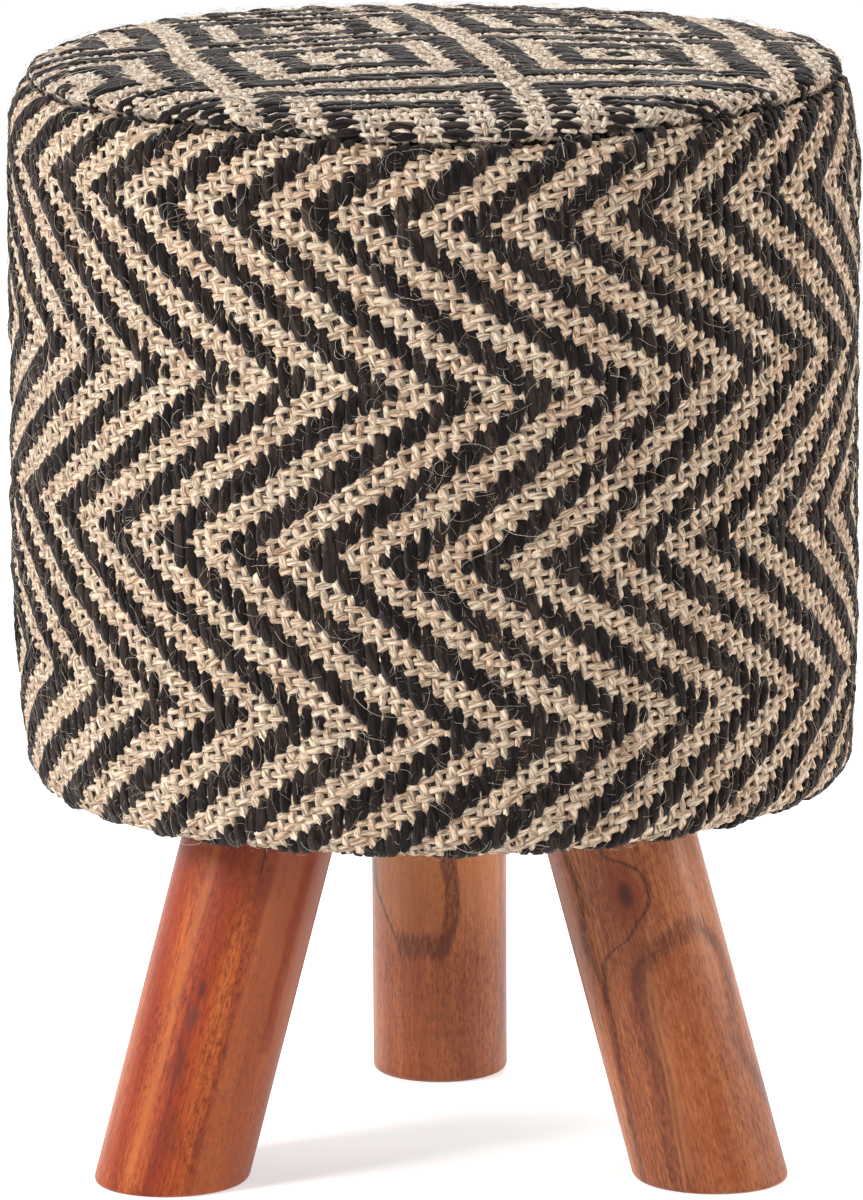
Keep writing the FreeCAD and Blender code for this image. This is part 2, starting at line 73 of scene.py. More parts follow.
MM = 0.001
YARN_STANDS_OUT = 1.6 * MM
CREASE_BELOW_CROWN = 12.8 * MM
band_low, band_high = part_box("side_cover_band")
panel_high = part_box("top_cover_panel")[1]
BODY_RADIUS = band_high.x - YARN_STANDS_OUT
UNDERSIDE = band_low.z
CREASE_RADIUS = panel_high.x
CROWN_HEIGHT = panel_high.z
CREASE_HEIGHT = CROWN_HEIGHT - CREASE_BELOW_CROWN
print(f"drum radius {BODY_RADIUS:.4f}, underside {UNDERSIDE:.4f}")
print(f"crease {CREASE_RADIUS:.4f} at {CREASE_HEIGHT:.4f}")

# %% [markdown]
# ## Working by hand
# A few habits keep modelling in code safe. Everything is deselected before a new primitive is added,
# edit mode is always left again, and a finished piece gets its material, rides on the body "root"
# and hides the CAD nodes that it stands for.

# %% Helpers for pieces
def work_on(*pieces):
    """Leaves edit mode and selects these pieces alone, or nothing."""
    if bpy.context.object and bpy.context.object.mode != "OBJECT":
        bpy.ops.object.mode_set(mode="OBJECT")
    bpy.ops.object.select_all(action="DESELECT")
    for piece in pieces:
        piece.select_set(True)
        bpy.context.view_layer.objects.active = piece


def edit_all():
    bpy.ops.object.mode_set(mode="EDIT")
    bpy.ops.mesh.select_all(action="SELECT")


def leave_edit():
    bpy.ops.object.mode_set(mode="OBJECT")


def smooth(piece, degrees):
    work_on(piece)
    bpy.ops.object.shade_smooth_by_angle(angle=math.radians(degrees))
    return piece


def settle(piece, name):
    """Puts a piece's place into its mesh, so that its object sits at the origin."""
    work_on(piece)
    bpy.ops.object.transform_apply(location=True, rotation=True, scale=True)
    piece.name = piece.data.name = name
    return piece


def add_object(name, data):
    made = bpy.data.objects.new(name, data)
    bpy.context.scene.collection.objects.link(made)
    return made


def points_of(piece):
    return np.array([corner.co for corner in piece.data.vertices])


def move_points(piece, points):
    piece.data.vertices.foreach_set("co", points.astype(np.float32).ravel())
    piece.data.update()
    return piece


def finish_piece(piece, material, slot, *stands_for):
    """The last step for each piece: finish, body and the CAD nodes that it replaces."""
    piece.data.materials.clear()
    piece.data.materials.append(material)
    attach(piece, "root")
    if stands_for:
        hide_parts(*stands_for)
    print(f"{piece.name}: {len(piece.data.vertices)} points, {len(piece.data.polygons)} faces")


# %% [markdown]
# A finish is a tree of nodes. These helpers make one node each, set its inputs by name or number, and
# link an input when its value comes from another node.

# %% Helpers for materials
WHITE = (1, 1, 1)
BLACK = (0, 0, 0)


def srgb(red, green, blue):
    """A colour read off in 0 to 255 steps, made linear."""
    shares = (v / 255 for v in (red, green, blue))
    return tuple(((v + 0.055) / 1.055) ** 2.4 if v > 10 / 255 else v / 12.92 for v in shares)


class Tree:
    """The nodes of a material or of the world."""

    def __init__(self, owner):
        owner.use_nodes = True
        self.owner, self.tree = owner, owner.node_tree
        self.tree.nodes.clear()

    def put(self, socket, value):
        if isinstance(value, bpy.types.NodeSocket):
            self.tree.links.new(value, socket)
        else:
            socket.default_value = (*value, 1) if socket.type == "RGBA" else value

    def node(self, kind, inputs=(), **settings):
        """One node with its own settings, then its inputs by name or number."""
        made = self.tree.nodes.new("ShaderNode" + kind)
        for name, value in settings.items():
            setattr(made, name, value)
        for name, value in dict(inputs).items():
            self.put(made.inputs[name], value)
        return made

    def maths(self, operation, *values, clamp=False):
        return self.node("Math", enumerate(values), operation=operation, use_clamp=clamp).outputs[0]

    def times(self, first, second):
        return self.maths("MULTIPLY", first, second)

    def place(self, scale=WHITE):
        """Coordinates on the object, scaled for a pattern."""
        source = self.node("TexCoord").outputs["Object"]
        return self.node("Mapping", {"Vector": source, "Scale": scale}).outputs[0]

    def noise(self, place, scale, detail=3.0, roughness=0.55, distortion=0.0):
        inputs = {"Vector": place, "Scale": scale, "Detail": detail, "Roughness": roughness}
        return self.node("TexNoise", {**inputs, "Distortion": distortion}).outputs["Fac"]

    def ramp(self, value, *stops):
        """A colour ramp from (position, colour) pairs."""
        made = self.node("ValToRGB", {"Fac": value})
        while len(made.color_ramp.elements) < len(stops):
            made.color_ramp.elements.new(0.5)
        for element, (position, colour) in zip(made.color_ramp.elements, stops):
            element.position = position
            element.color = (*colour, 1)
        return made.outputs["Color"]

    def tinted(self, value, *stops):
        """A ramp through colours read off, as (position, red, green, blue)."""
        return self.ramp(value, *((position, srgb(*colour)) for position, *colour in stops))

    def blend(self, share, first, second, way="MIX"):
        inputs = {"Factor": share, "A": first, "B": second}
        return self.node("Mix", inputs, data_type="RGBA", blend_type=way).outputs["Result"]

    def darken(self, colour, by, share=1.0):
        return self.blend(share, colour, by, "MULTIPLY")

    def seen_directly(self):
        """One where a ray comes straight from the camera, a mirror or a lens, else zero."""
        rays = self.node("LightPath").outputs
        both = self.maths("ADD", rays["Is Camera Ray"], rays["Is Glossy Ray"])
        return self.maths("ADD", both, rays["Is Transmission Ray"], clamp=True)

    def white_light(self, kind, lighting, seen):
        """White light, of one power where it lights the stool and of another where it is seen."""
        lit, direct = (self.node(kind, {"Color": WHITE, "Strength": power}) for power in (lighting, seen))
        inputs = {0: self.seen_directly(), 1: lit.outputs[0], 2: direct.outputs[0]}
        return self.node("MixShader", inputs).outputs[0]


class Finish(Tree):
    """A new material with one shader."""

    def __init__(self, name, roughness, others=()):
        super().__init__(bpy.data.materials.new(name))
        self.shader = self.node("BsdfPrincipled", {"Roughness": roughness, **dict(others)})
        self.node("OutputMaterial", {"Surface": self.shader.outputs[0]})

    def done(self, colour, relief=None, depth=0.0):
        """Links the colour and the relief, and gives back the material."""
        self.put(self.shader.inputs["Base Color"], colour)
        if relief is not None:
            bump = self.node("Bump", {"Height": relief, "Distance": depth})
            self.put(self.shader.inputs["Normal"], bump.outputs["Normal"])
        return self.owner


# %% [markdown]
# ## Camera
# The photograph was taken from far away with a long lens, a little above the seat, so the sides look
# almost parallel and the top is a thin ellipse. The camera stands where a fit to the stool's
# outline and feet put it, about four metres off.

# %% Camera
CAMERA_PLACE = Vector((-2.7 * MM, -4.099, 1.036))
CAMERA_DOWN = math.radians(11.114)
CAMERA_ROLL = -0.00546
LENS = 302.1

camera_data = bpy.data.cameras.new("studio_camera")
camera_data.lens = LENS
camera_data.sensor_width = 36
camera_data.clip_start, camera_data.clip_end = 0.1, 50
camera = add_object("studio_camera", camera_data)
aimed = Matrix.Rotation(math.pi / 2 - CAMERA_DOWN, 4, "X") @ Matrix.Rotation(CAMERA_ROLL, 4, "Z")
camera.matrix_world = Matrix.Translation(CAMERA_PLACE) @ aimed
bpy.context.scene.camera = camera
print("camera at", [round(v, 3) for v in camera.location])

# %% [markdown]
# ## Light and floor
# A product photograph like this one has one large soft light from above and in front, a weaker one
# from the other side, and a white surround. Large area lamps give the soft shadows between the
# yarns. The floor stays white to the camera but still takes the stool's shadow, because only part of
# its brightness is a glow that the camera sees and the rest is lit by the lamps. The floor also glows
# weakly onto the stool from below, a glow that stands in for light bounced off the floor.

# %% Light
LAMP_AIM = Vector((0, 0, 0.25))
SURROUND = 0.36


def soft_lamp(name, place, size, power, colour):
    """One large round lamp that points at the stool."""
    data = bpy.data.lights.new(name, "AREA")
    data.shape, data.size, data.energy, data.color = "DISK", size, power, colour
    lamp = add_object(name, data)
    lamp.location = place
    lamp.rotation_euler = (LAMP_AIM - Vector(place)).to_track_quat("-Z", "Y").to_euler()
    print(f"{name}: {power} watts, {size} metres across")


soft_lamp("key_lamp", (-2.65, -1.65, 1.8), 0.9, 98, WHITE)
soft_lamp("fill_lamp", (2.95, 0.05, 1.1), 1.4, 46, (1.0, 0.94, 0.87))
soft_lamp("back_lamp", (0.2, 1.6, 2.6), 1.4, 55, (0.93, 0.97, 1.0))

sky = Tree(bpy.data.worlds.new("studio"))
bpy.context.scene.world = sky.owner
sky.node("OutputWorld", {"Surface": sky.white_light("Background", SURROUND, 1)})
bpy.context.scene.view_settings.view_transform = "Standard"

# %% Floor
FLOOR_REACH = 14
# The floor's glow onto the stool, which stands in for light bounced off the floor.
FLOOR_GLOW_ON_STOOL = 0.22
FLOOR_GLOW = 0.58
FLOOR_TONE = (0.8, 0.8, 0.8)

paint = Tree(bpy.data.materials.new("studio_floor"))
lit = paint.node("BsdfDiffuse", {"Color": FLOOR_TONE}).outputs[0]
glow = paint.white_light("Emission", FLOOR_GLOW_ON_STOOL, FLOOR_GLOW)
paint.node("OutputMaterial", {"Surface": paint.node("AddShader", {0: lit, 1: glow}).outputs[0]})

work_on()
bpy.ops.mesh.primitive_plane_add(size=FLOOR_REACH)
floor = bpy.context.object
floor.name = "studio_floor"
floor.data.materials.append(paint.owner)
floor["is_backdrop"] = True
print("floor laid,", FLOOR_REACH, "metres across")

# %% [markdown]
# ## The shape of the cloth
# Both cloths are stretched over foam, so each is a smooth surface that can be written as a formula:
# a place on the cloth, given as distances along its own threads, becomes a place in space. All yarns
# are laid through these two functions, and so they follow the shoulder, the hem and the rolled rim.
#
# The side band is a line turned round the drum: crease, shoulder, straight side, a slight draw-in
# towards the base, the round of the hem and the flat part under the base board.

# %% The band's outline
SHOULDER_DROP = 17 * MM
SHOULDER_ROUND = 22.06 * MM
DRAW_START = UNDERSIDE + 98 * MM
DRAW_IN = 2.5 * MM
HEM_ROUND = 9 * MM
HEM_WIDTH = 36 * MM
CREASE_ROUND = 3.2 * MM
CREASE_OPENS = math.radians(38)
CREASE_TURNS = math.radians(150)
TURN_IN = 3.6 * MM
STEP = 0.5 * MM


def round_point(centre, radius, angle):
    return (centre[0] + radius * math.cos(angle), centre[1] + radius * math.sin(angle))


def onward(point, angle, length):
    """A point further on, at right angles to a round's own direction there."""
    return (point[0] - length * math.sin(angle), point[1] + length * math.cos(angle))


def arc(centre, radius, start, end):
    """Points on an arc in the outline's plane, angles in radians."""
    angles = np.linspace(start, end, max(2, int(abs(end - start) * radius / STEP)))
    return np.stack([centre[0] + radius * np.cos(angles), centre[1] + radius * np.sin(angles)], 1)


def line(start, end):
    return np.linspace(start, end, max(2, int(math.dist(start, end) / STEP)))


class Outline:
    """A line in the half plane of radius and height, read by the distance along it."""

    def __init__(self, runs, start=0):
        points = np.concatenate(runs)
        apart = np.linalg.norm(np.diff(points, axis=0), axis=1) > STEP / 10
        self.points = points[np.r_[True, apart]]
        self.at = np.r_[0, np.cumsum(np.linalg.norm(np.diff(self.points, axis=0), axis=1))] - start
        along = np.gradient(self.points, self.at, axis=0)
        self.outward = np.stack([-along[:, 1], along[:, 0]], 1)

    def read(self, distance, lift):
        """Radius and height of the point that lies lift outside the line at each distance."""
        radius, height = (np.interp(distance, self.at, c) for c in self.points.T)
        out_r, out_z = (np.interp(distance, self.at, c) for c in self.outward.T)
        size = np.hypot(out_r, out_z)
        return radius + out_r / size * lift, height + out_z / size * lift


shoulder_low = CREASE_HEIGHT - SHOULDER_DROP
shoulder_middle = (BODY_RADIUS - SHOULDER_ROUND, shoulder_low)
crest = round_point(shoulder_middle, SHOULDER_ROUND - CREASE_ROUND, CREASE_OPENS)
turned_edge = round_point(crest, CREASE_ROUND, CREASE_TURNS)
hem_top = UNDERSIDE + HEM_ROUND
hem_inner = BODY_RADIUS - DRAW_IN - HEM_ROUND
draw = DRAW_START - hem_top
draw_round = (draw**2 + DRAW_IN**2) / (2 * DRAW_IN)
TURNED_LENGTH = TURN_IN + CREASE_ROUND * (CREASE_TURNS - math.pi / 2)
BAND = Outline([
    line(onward(turned_edge, CREASE_TURNS, TURN_IN), turned_edge),
    arc(crest, CREASE_ROUND, CREASE_TURNS, math.pi / 2),
    arc(crest, CREASE_ROUND, math.pi / 2, CREASE_OPENS),
    arc(shoulder_middle, SHOULDER_ROUND, CREASE_OPENS, 0),
    line((BODY_RADIUS, shoulder_low), (BODY_RADIUS, DRAW_START)),
    arc((BODY_RADIUS - draw_round, DRAW_START), draw_round, 0, -math.asin(draw / draw_round)),
    arc((hem_inner, hem_top), HEM_ROUND, 0, -math.pi / 2),
    line((hem_inner, UNDERSIDE), (hem_inner - HEM_WIDTH, UNDERSIDE)),
], TURNED_LENGTH)
BAND_LENGTH = BAND.at[-1]
print(f"the band is {BAND_LENGTH / MM:.0f} mm from crease to raw edge")

# %% [markdown]
# Foam is never quite even. A few slow waves swell the side by less than a millimetre, the left side
# bulges in its middle and is pulled in above the hem, the right shoulder slopes, and the cloth hangs a
# few millimetres lower in front. Each of these fades away from one direction round the drum, given
# here in degrees from the front with the width over which it fades.

# %% Softness of the drum
SWELL = (0.5 * MM, 0.16, 11)
FRONT, FRONT_SAG = (6, 24), 5.0 * MM
LEFT_RIM, LEFT_DROP = (-95, 45), 1.8 * MM
BACK_RIM, BACK_DROP = (165, 50), 3.7 * MM
LEFT_SIDE, LEFT_BULGE, LEFT_PULL = (-85, 40), 1.8 * MM, 1.0 * MM
RIGHT_SHOULDER, RIGHT_SLOPE = (92, 40), 2.4 * MM
RIGHT_HEM, HEM_SAG, HEM_TIGHTER = (70, 45), 4.2 * MM, 0.35
HEM_HELD = 150 * MM
# Radii or heights between which each of these begins and is complete.
EDGE_SPAN = (BODY_RADIUS - 49 * MM, BODY_RADIUS - 13 * MM)
TOP_SPAN = (CREASE_HEIGHT, CREASE_HEIGHT - 26 * MM)
FOOT_SPAN = (UNDERSIDE, UNDERSIDE + 30 * MM)
SEAT_SPAN = (CREASE_RADIUS - 15 * MM, CREASE_RADIUS - 55 * MM)
HANG_SPAN = (UNDERSIDE + 20 * MM, CREASE_HEIGHT)
CROWN_SPAN = (CREASE_HEIGHT, CREASE_HEIGHT + 6 * MM)
PULL_SPAN = (UNDERSIDE + 72 * MM, UNDERSIDE)
BULGE_SPAN = (CREASE_HEIGHT - 15 * MM, CREASE_HEIGHT - 90 * MM)
SHOULDER_SPAN = (CREASE_HEIGHT + 3 * MM, CREASE_HEIGHT - 33 * MM)
BELLY_SPAN = (UNDERSIDE + 25 * MM, UNDERSIDE)


def waves(points, size, seed, count=7):
    """A smooth random field between about -1 and 1, from a few seeded sine waves."""
    dice = np.random.default_rng(seed)
    total = np.zeros(points.shape[:-1])
    for _ in range(count):
        way = dice.normal(size=points.shape[-1])
        way *= 2 * math.pi / size / np.linalg.norm(way) * dice.uniform(0.6, 1.3)
        total += np.sin(points @ way + dice.uniform(0, 2 * math.pi))
    return total / math.sqrt(count / 2)


def drift(points, *parts):
    """Waves together, each given as its height, its size and its seed."""
    return sum(height * waves(points, size, seed) for height, size, seed in parts)


def near_way(turn, middle, width):
    """One at a direction round the drum, in degrees from the front, fading away from it."""
    off = (turn - math.radians(middle) + math.pi) % (2 * math.pi) - math.pi
    return np.exp(-((off / math.radians(width)) ** 2))


def fade(value, start, end):
    """How far a value has come from start to end, kept between zero and one."""
    return np.clip((value - start) / (end - start), 0, 1)


def round_axis(radius, turn, height):
    return np.stack(np.broadcast_arrays(radius * np.sin(turn), -radius * np.cos(turn), height), -1)


def soften(points):
    """Moves any points of the drum as its foam and cloth have settled."""
    x, y, height = np.moveaxis(points, -1, 0)
    radius, turn = np.hypot(x, y), np.arctan2(x, -y)
    out = fade(radius, 0, CREASE_RADIUS)
    side = fade(height, *TOP_SPAN) * fade(height, *FOOT_SPAN)
    seat = fade(radius, *SEAT_SPAN) * (height > CREASE_HEIGHT)
    crown = fade(height, *CROWN_SPAN) * out**3
    low_left = np.clip(-np.sin(turn), 0, 1) ** 3 * fade(height, *PULL_SPAN)
    shoulder = np.sin(math.pi * fade(height, *SHOULDER_SPAN))
    belly = np.sin(math.pi * fade(radius, HEM_HELD, BODY_RADIUS)) * fade(height, *BELLY_SPAN)
    hang = FRONT_SAG * near_way(turn, *FRONT) * out**4 * fade(height, *HANG_SPAN)
    hang = hang + crown * (LEFT_DROP * near_way(turn, *LEFT_RIM) + BACK_DROP * near_way(turn, *BACK_RIM))
    hang = hang + HEM_SAG * belly * (1 - HEM_TIGHTER * near_way(turn, *RIGHT_HEM))
    swell = drift(points, SWELL)
    bulge = (swell + LEFT_BULGE * near_way(turn, *LEFT_SIDE) * fade(height, *BULGE_SPAN)) * side
    slope = RIGHT_SLOPE * near_way(turn, *RIGHT_SHOULDER) * shoulder
    moved = radius + (bulge - LEFT_PULL * low_left - slope) * fade(radius, *EDGE_SPAN)
    return round_axis(moved, turn, height - hang + swell * seat)


PRESSED_FROM, PRESSED_OVER = BAND_LENGTH - 28 * MM, 3 * MM
PRESSED_IN = 0.6 * MM


def band_place(around, distance, lift):
    """From a length round the drum, a length down the band and a height over it to a place.
    Where the dust cover is stapled over the hem, the cloth is pressed thin."""
    pressed = fade(distance, PRESSED_FROM, PRESSED_FROM + PRESSED_OVER)
    lift = lift * (1 - pressed / 2) - PRESSED_IN * pressed
    radius, height = BAND.read(distance, lift)
    return soften(round_axis(radius, around / BODY_RADIUS, height))


# %% [markdown]
# The top panel is a flat round of cloth whose edge rolls over the foam. A place on it is measured along
# its own threads from the middle, and the distance from the middle decides how far it has rolled.

# %% The panel's outline
CROWN_REACH = 143 * MM
CROWN_TOP = CROWN_HEIGHT + 1.5 * MM
CROWN_RISE = 4.5 * MM
RIM_RADIUS = CREASE_RADIUS + 0.5 * MM
RIM_HEIGHT = CREASE_HEIGHT + 1.9 * MM
RIM_UNDER = 3.2 * MM
RIM_TURNS = math.radians(-62)
RIM_INWARD = 3.2 * MM
PANEL_TUCK = 7 * MM

crown_round = (CROWN_REACH**2 + CROWN_RISE**2) / (2 * CROWN_RISE)
crown_edge = math.pi / 2 - math.asin(CROWN_REACH / crown_round)
quarter = np.linspace(math.pi / 2, 0, 60)
rolled = np.stack([
    CROWN_REACH + (RIM_RADIUS - CROWN_REACH) * np.cos(quarter),
    RIM_HEIGHT + (CROWN_TOP - CROWN_RISE - RIM_HEIGHT) * np.sin(quarter),
], 1)
rim_middle = (RIM_RADIUS - RIM_UNDER, RIM_HEIGHT)
rim_end = round_point(rim_middle, RIM_UNDER, RIM_TURNS)
tuck = onward(rim_end, RIM_TURNS, -RIM_INWARD)
PANEL = Outline([
    arc((0, CROWN_TOP - crown_round), crown_round, math.pi / 2, crown_edge),
    rolled,
    arc(rim_middle, RIM_UNDER, 0, RIM_TURNS),
    line(rim_end, tuck),
    line(tuck, (tuck[0], tuck[1] - PANEL_TUCK)),
])
PANEL_REACH = PANEL.at[-1]
print(f"the panel is {2 * PANEL_REACH / MM:.0f} mm across, flat")


def panel_place(across, along, lift):
    """From a place on the flat round and a height over it to a place on the seat."""
    radius, height = PANEL.read(np.hypot(across, along), lift)
    return soften(round_axis(radius, np.arctan2(across, -along), height))


# %% [markdown]
# ## One stitch of each kind
# In this cloth thin jute ends run one way and thin jute picks cross them, over one and under one.
# Between the ends lie thick black wool yarns, which come to the face over three picks and dive again.
# What the eye sees is a mosaic of short humps. So one hump of each yarn is modelled, from a
# low sphere that is laid on its side and shaped ring by ring, and then laid thousands of times.

# %% Model the stitches
def model_stitch(name, sides, rings, fuller):
    """A closed hump along X from -1 to 1. fuller swells the rings near each end."""
    work_on()
    bpy.ops.mesh.primitive_uv_sphere_add(segments=sides, ring_count=rings, radius=1)
    stitch = bpy.context.object
    stitch.name = name
    edit_all()
    bpy.ops.transform.rotate(value=math.pi / 2, orient_axis="Y", center_override=(0, 0, 0))
    for low, high, grow in fuller:
        leave_edit()
        for corner in stitch.data.vertices:
            corner.select = low < abs(corner.co.x) < high
        for part in (*stitch.data.edges, *stitch.data.polygons):
            part.select = False
        bpy.ops.object.mode_set(mode="EDIT")
        bpy.ops.mesh.select_mode(type="VERT")
        bpy.ops.transform.resize(value=(1, grow, grow), center_override=(0, 0, 0))
    leave_edit()
    highest = round(max(corner.co.z for corner in stitch.data.vertices), 2)
    print(name, len(stitch.data.polygons), "faces; highest", highest)
    return stitch


jute_stitch = model_stitch("jute_stitch", 5, 4, [(0.6, 0.8, 1.18)])
wool_stitch = model_stitch("wool_stitch", 6, 6, [(0.8, 0.9, 1.4), (0.4, 0.6, 1.12)])

# %% [markdown]
# `Pattern` keeps a modelled stitch as plain arrays. `lay` then makes one mesh of all its copies: each
# copy is stretched to its own length, width and height, leaned a little because the yarn is twisted,
# bowed down at both ends where it dives, and passed through the cloth's own place function. A small
# number per stitch is stored with the points, so that the material can shade each one differently.
# The second UV map gives each stitch a patch of its own, so that a baked picture has room for all.

# %% Lay copies of a stitch
ROUNDED_LENGTH = 7 * MM
LUMPS = 0.13 * MM
PATCH_EDGE = 0.06
dice = np.random.default_rng(796)


class Pattern:
    def __init__(self, stitch):
        mesh = stitch.data
        self.points = points_of(stitch)
        self.points[:, 0] /= np.abs(self.points[:, 0]).max()
        self.corners = np.array([c.vertex_index for c in mesh.loops])
        self.counts = np.array([p.loop_total for p in mesh.polygons])
        self.uv = np.array([d.uv for d in mesh.uv_layers.active.data])
        bpy.data.objects.remove(stitch)


JUTE = Pattern(jute_stitch)
WOOL = Pattern(wool_stitch)


def mesh_from(name, points, corners, counts, shade=None, **maps):
    """A mesh object from arrays of points and face corners, a shade per point and UV maps by name."""
    mesh = bpy.data.meshes.new(name)
    mesh.vertices.add(len(points))
    mesh.vertices.foreach_set("co", points.astype(np.float32).ravel())
    mesh.loops.add(len(corners))
    mesh.loops.foreach_set("vertex_index", corners.astype(np.int32))
    mesh.polygons.add(len(counts))
    mesh.polygons.foreach_set("loop_start", np.r_[0, np.cumsum(counts)[:-1]].astype(np.int32))
    mesh.update(calc_edges=True)
    for title, uv in maps.items():
        mesh.uv_layers.new(name=title).uv.foreach_set("vector", uv.astype(np.float32).ravel())
    if shade is not None:
        mesh.attributes.new("shade", "FLOAT", "POINT").data.foreach_set("value", shade.astype(np.float32))
    mesh.polygons.foreach_set("use_smooth", np.ones(len(counts), bool))
    mesh.validate()
    return add_object(name, mesh)


def patches_for(count, uv):
    """Gives each of count stitches a square of its own in the picture, and its UVs inside it."""
    across = math.ceil(math.sqrt(count))
    cells = np.stack([np.arange(count) % across, np.arange(count) // across], 1)
    inside = PATCH_EDGE + (1 - 2 * PATCH_EDGE) * (uv - uv.min(0)) / np.ptp(uv, axis=0)
    return ((cells[:, None] + inside[None]) / across).reshape(-1, 2)


def copied(corners, count, points):
    """The corner numbers of count copies of a body that has this many points."""
    return (corners[None] + np.arange(count)[:, None] * points).ravel()


def lay(name, pattern, place, middle, along, size, lean, tone, skew=0.0):
    """One mesh of many stitches, all lengths in metres. middle is (n, 2) on the cloth and along is
    0 or 1, the direction they run. size holds length, width, height, lift and drop for each."""
    count = len(middle)
    length, width, height, lift, drop = (v[:, None] for v in size)
    a, b, c = pattern.points.T
    spread = np.minimum(length, ROUNDED_LENGTH)
    run = a[None] * spread + np.sign(a)[None] * (length - spread)
    run = run + b[None] * np.broadcast_to(skew, count)[:, None]
    side = b[None] * width + run * np.tan(lean)[:, None]
    up = lift + c[None] * height - drop * a[None] ** 2
    first, second = (run, -side) if along == 0 else (side, run)
    points = place(middle[:, :1] + first, middle[:, 1:] + second, up).reshape(-1, 3)
    points = points + dice.normal(0, LUMPS, points.shape)
    step = np.stack([dice.uniform(0, 40, count).round(2), np.arange(count) % 50], 1)
    yarn = np.tile(np.clip(pattern.uv, 0.001, 0.999), (count, 1)) + np.repeat(step, len(pattern.uv), 0)
    return mesh_from(
        name, points, copied(pattern.corners, count, len(a)), np.tile(pattern.counts, count),
        np.repeat(tone, len(a)), yarn=yarn, OFBake=patches_for(count, pattern.uv),
    )


# %% [markdown]
# ## The side band's weave
# Thirty-three stripes go round the drum, each six wool yarns wide. Along a zigzag the whole pattern
# moves over by one wool yarn with each pick, seventeen picks one way and seventeen back. So a wool
# yarn shows where `(column - shift) mod 6` is 0, 1 or 2, and its runs come out three picks long on
# the slopes and one or five picks long at the tips, as on the real cloth.

# %% Where the band's yarns lie
STRIPES = 33
REPEAT = 6
COLUMNS = STRIPES * REPEAT
COLUMN_TURN = 2 * math.pi / COLUMNS
PICK = 4.0 * MM
HALF_ZIGZAG = 17
FIRST_TIP = 34.0 * MM
STRIPE_SHIFT = math.radians(-0.75) - 4 * COLUMN_TURN
WEAVE_DEPTH = 1.5 * MM

picks = np.arange(-math.floor((FIRST_TIP + 3 * MM) / PICK), math.floor((BAND_LENGTH - FIRST_TIP) / PICK) + 1)
zigzag = np.abs((picks + HALF_ZIGZAG) % (2 * HALF_ZIGZAG) - HALF_ZIGZAG)
shown = (np.arange(COLUMNS)[:, None] - zigzag[None]) % REPEAT < REPEAT // 2
print(f"{COLUMNS} columns, {len(picks)} picks, wool on {shown.mean():.0%} of the face")

# %% [markdown]
# Hand-made cloth wanders. Each yarn's line drifts by half a millimetre or so, its thickness changes
# along its length, and whole yarns are paler or redder than their neighbours. The zigzag also sags in
# front, climbs on the left, falls on the right, and twists slowly on its way down.

# %% Wander and tone
SAGGING, PATTERN_SAG = (9.5, 20), 5.1 * MM
FALLING, RIGHT_FALL = (85, 28), 6.0 * MM
CLIMBING, LEFT_CLIMB = (-80, 28), 5.5 * MM
STRETCHED, RIGHT_STRETCH = (65, 35), 0.042
TWIST_START, TWIST = -2.0 * MM, 0.0235
DRIFT_ROUND = ((0.45 * MM, 0.12, 5), (0.22 * MM, 0.03, 6))
DRIFT_DOWN = ((0.45 * MM, 0.13, 7), (0.2 * MM, 0.035, 8))
DRIFT_RADIUS = 0.17


def band_grid(column, pick):
    """The place on the band of a column and a pick, both of which may be fractions."""
    turn = STRIPE_SHIFT + column * COLUMN_TURN
    distance = FIRST_TIP + pick * PICK
    bodily = FRONT_SAG * fade(distance, CREASE_HEIGHT - UNDERSIDE - 20 * MM, 0)
    distance = distance + PATTERN_SAG * near_way(turn, *SAGGING) - bodily * near_way(turn, *FRONT)
    distance = distance + RIGHT_FALL * near_way(turn, *FALLING) - LEFT_CLIMB * near_way(turn, *CLIMBING)
    turn = turn + (TWIST_START + TWIST * distance) / BODY_RADIUS + RIGHT_STRETCH * near_way(turn, *STRETCHED)
    place = np.stack([np.sin(turn) * DRIFT_RADIUS, np.cos(turn) * DRIFT_RADIUS, distance], -1)
    down = drift(place, *DRIFT_DOWN) * fade(distance, 2 * MM, 14 * MM)
    return np.stack([turn * BODY_RADIUS + drift(place, *DRIFT_ROUND), distance + down], -1)


def cloth_place(around, distance, lift):
    return band_place(around, distance, lift - WEAVE_DEPTH)


def tones(yarn, strength=0.5):
    """A shade for each stitch: partly its yarn's own, partly by chance."""
    own = np.random.default_rng(31).uniform(0, 1, int(yarn.max() - yarn.min()) + 1)
    return own[(yarn - yarn.min()).astype(int)] * (1 - strength) + dice.uniform(0, 1, len(yarn)) * strength


def uneven(count, middle, spread):
    return middle * (1 + spread * np.clip(dice.normal(size=count), -2, 2))


def sized(count, size, spread):
    """Sizes for each of count stitches, every one a little different."""
    return [uneven(count, middle, share) for middle, share in zip(size, spread)]


# %% [markdown]
# The ends run down the band half a column beside the wool. Where end and pick numbers add up to an odd
# number, the end is on top, and elsewhere the pick is. A pick is left out where wool covers it on both
# sides, because there only a thin line of the end shows between two floats.

# %% Lay the jute of the band
PICK_SIZE = (5.1 * MM, 1.9 * MM, 1.0 * MM, 0.45 * MM, 1.0 * MM)
END_SIZE = (3.9 * MM, 2.15 * MM, 1.0 * MM, 0.45 * MM, 0.95 * MM)
JUTE_SPREAD = (0.06, 0.15, 0.12, 0.4, 0.2)
JUTE_WANDER = 0.2 * MM
JUTE_LEAN = 6


def lay_jute(name, place, middle, yarn, along, size, straighten=0.0):
    """The short humps of the jute yarns. yarn is the number of the yarn that each belongs to."""
    count = len(middle)
    lean = np.radians(dice.normal(JUTE_LEAN, JUTE_LEAN, count)) - straighten
    middle = middle + dice.normal(0, JUTE_WANDER, (count, 2))
    tone = tones(yarn)
    return lay(name, JUTE, place, middle, along, sized(count, size, JUTE_SPREAD), lean, tone)


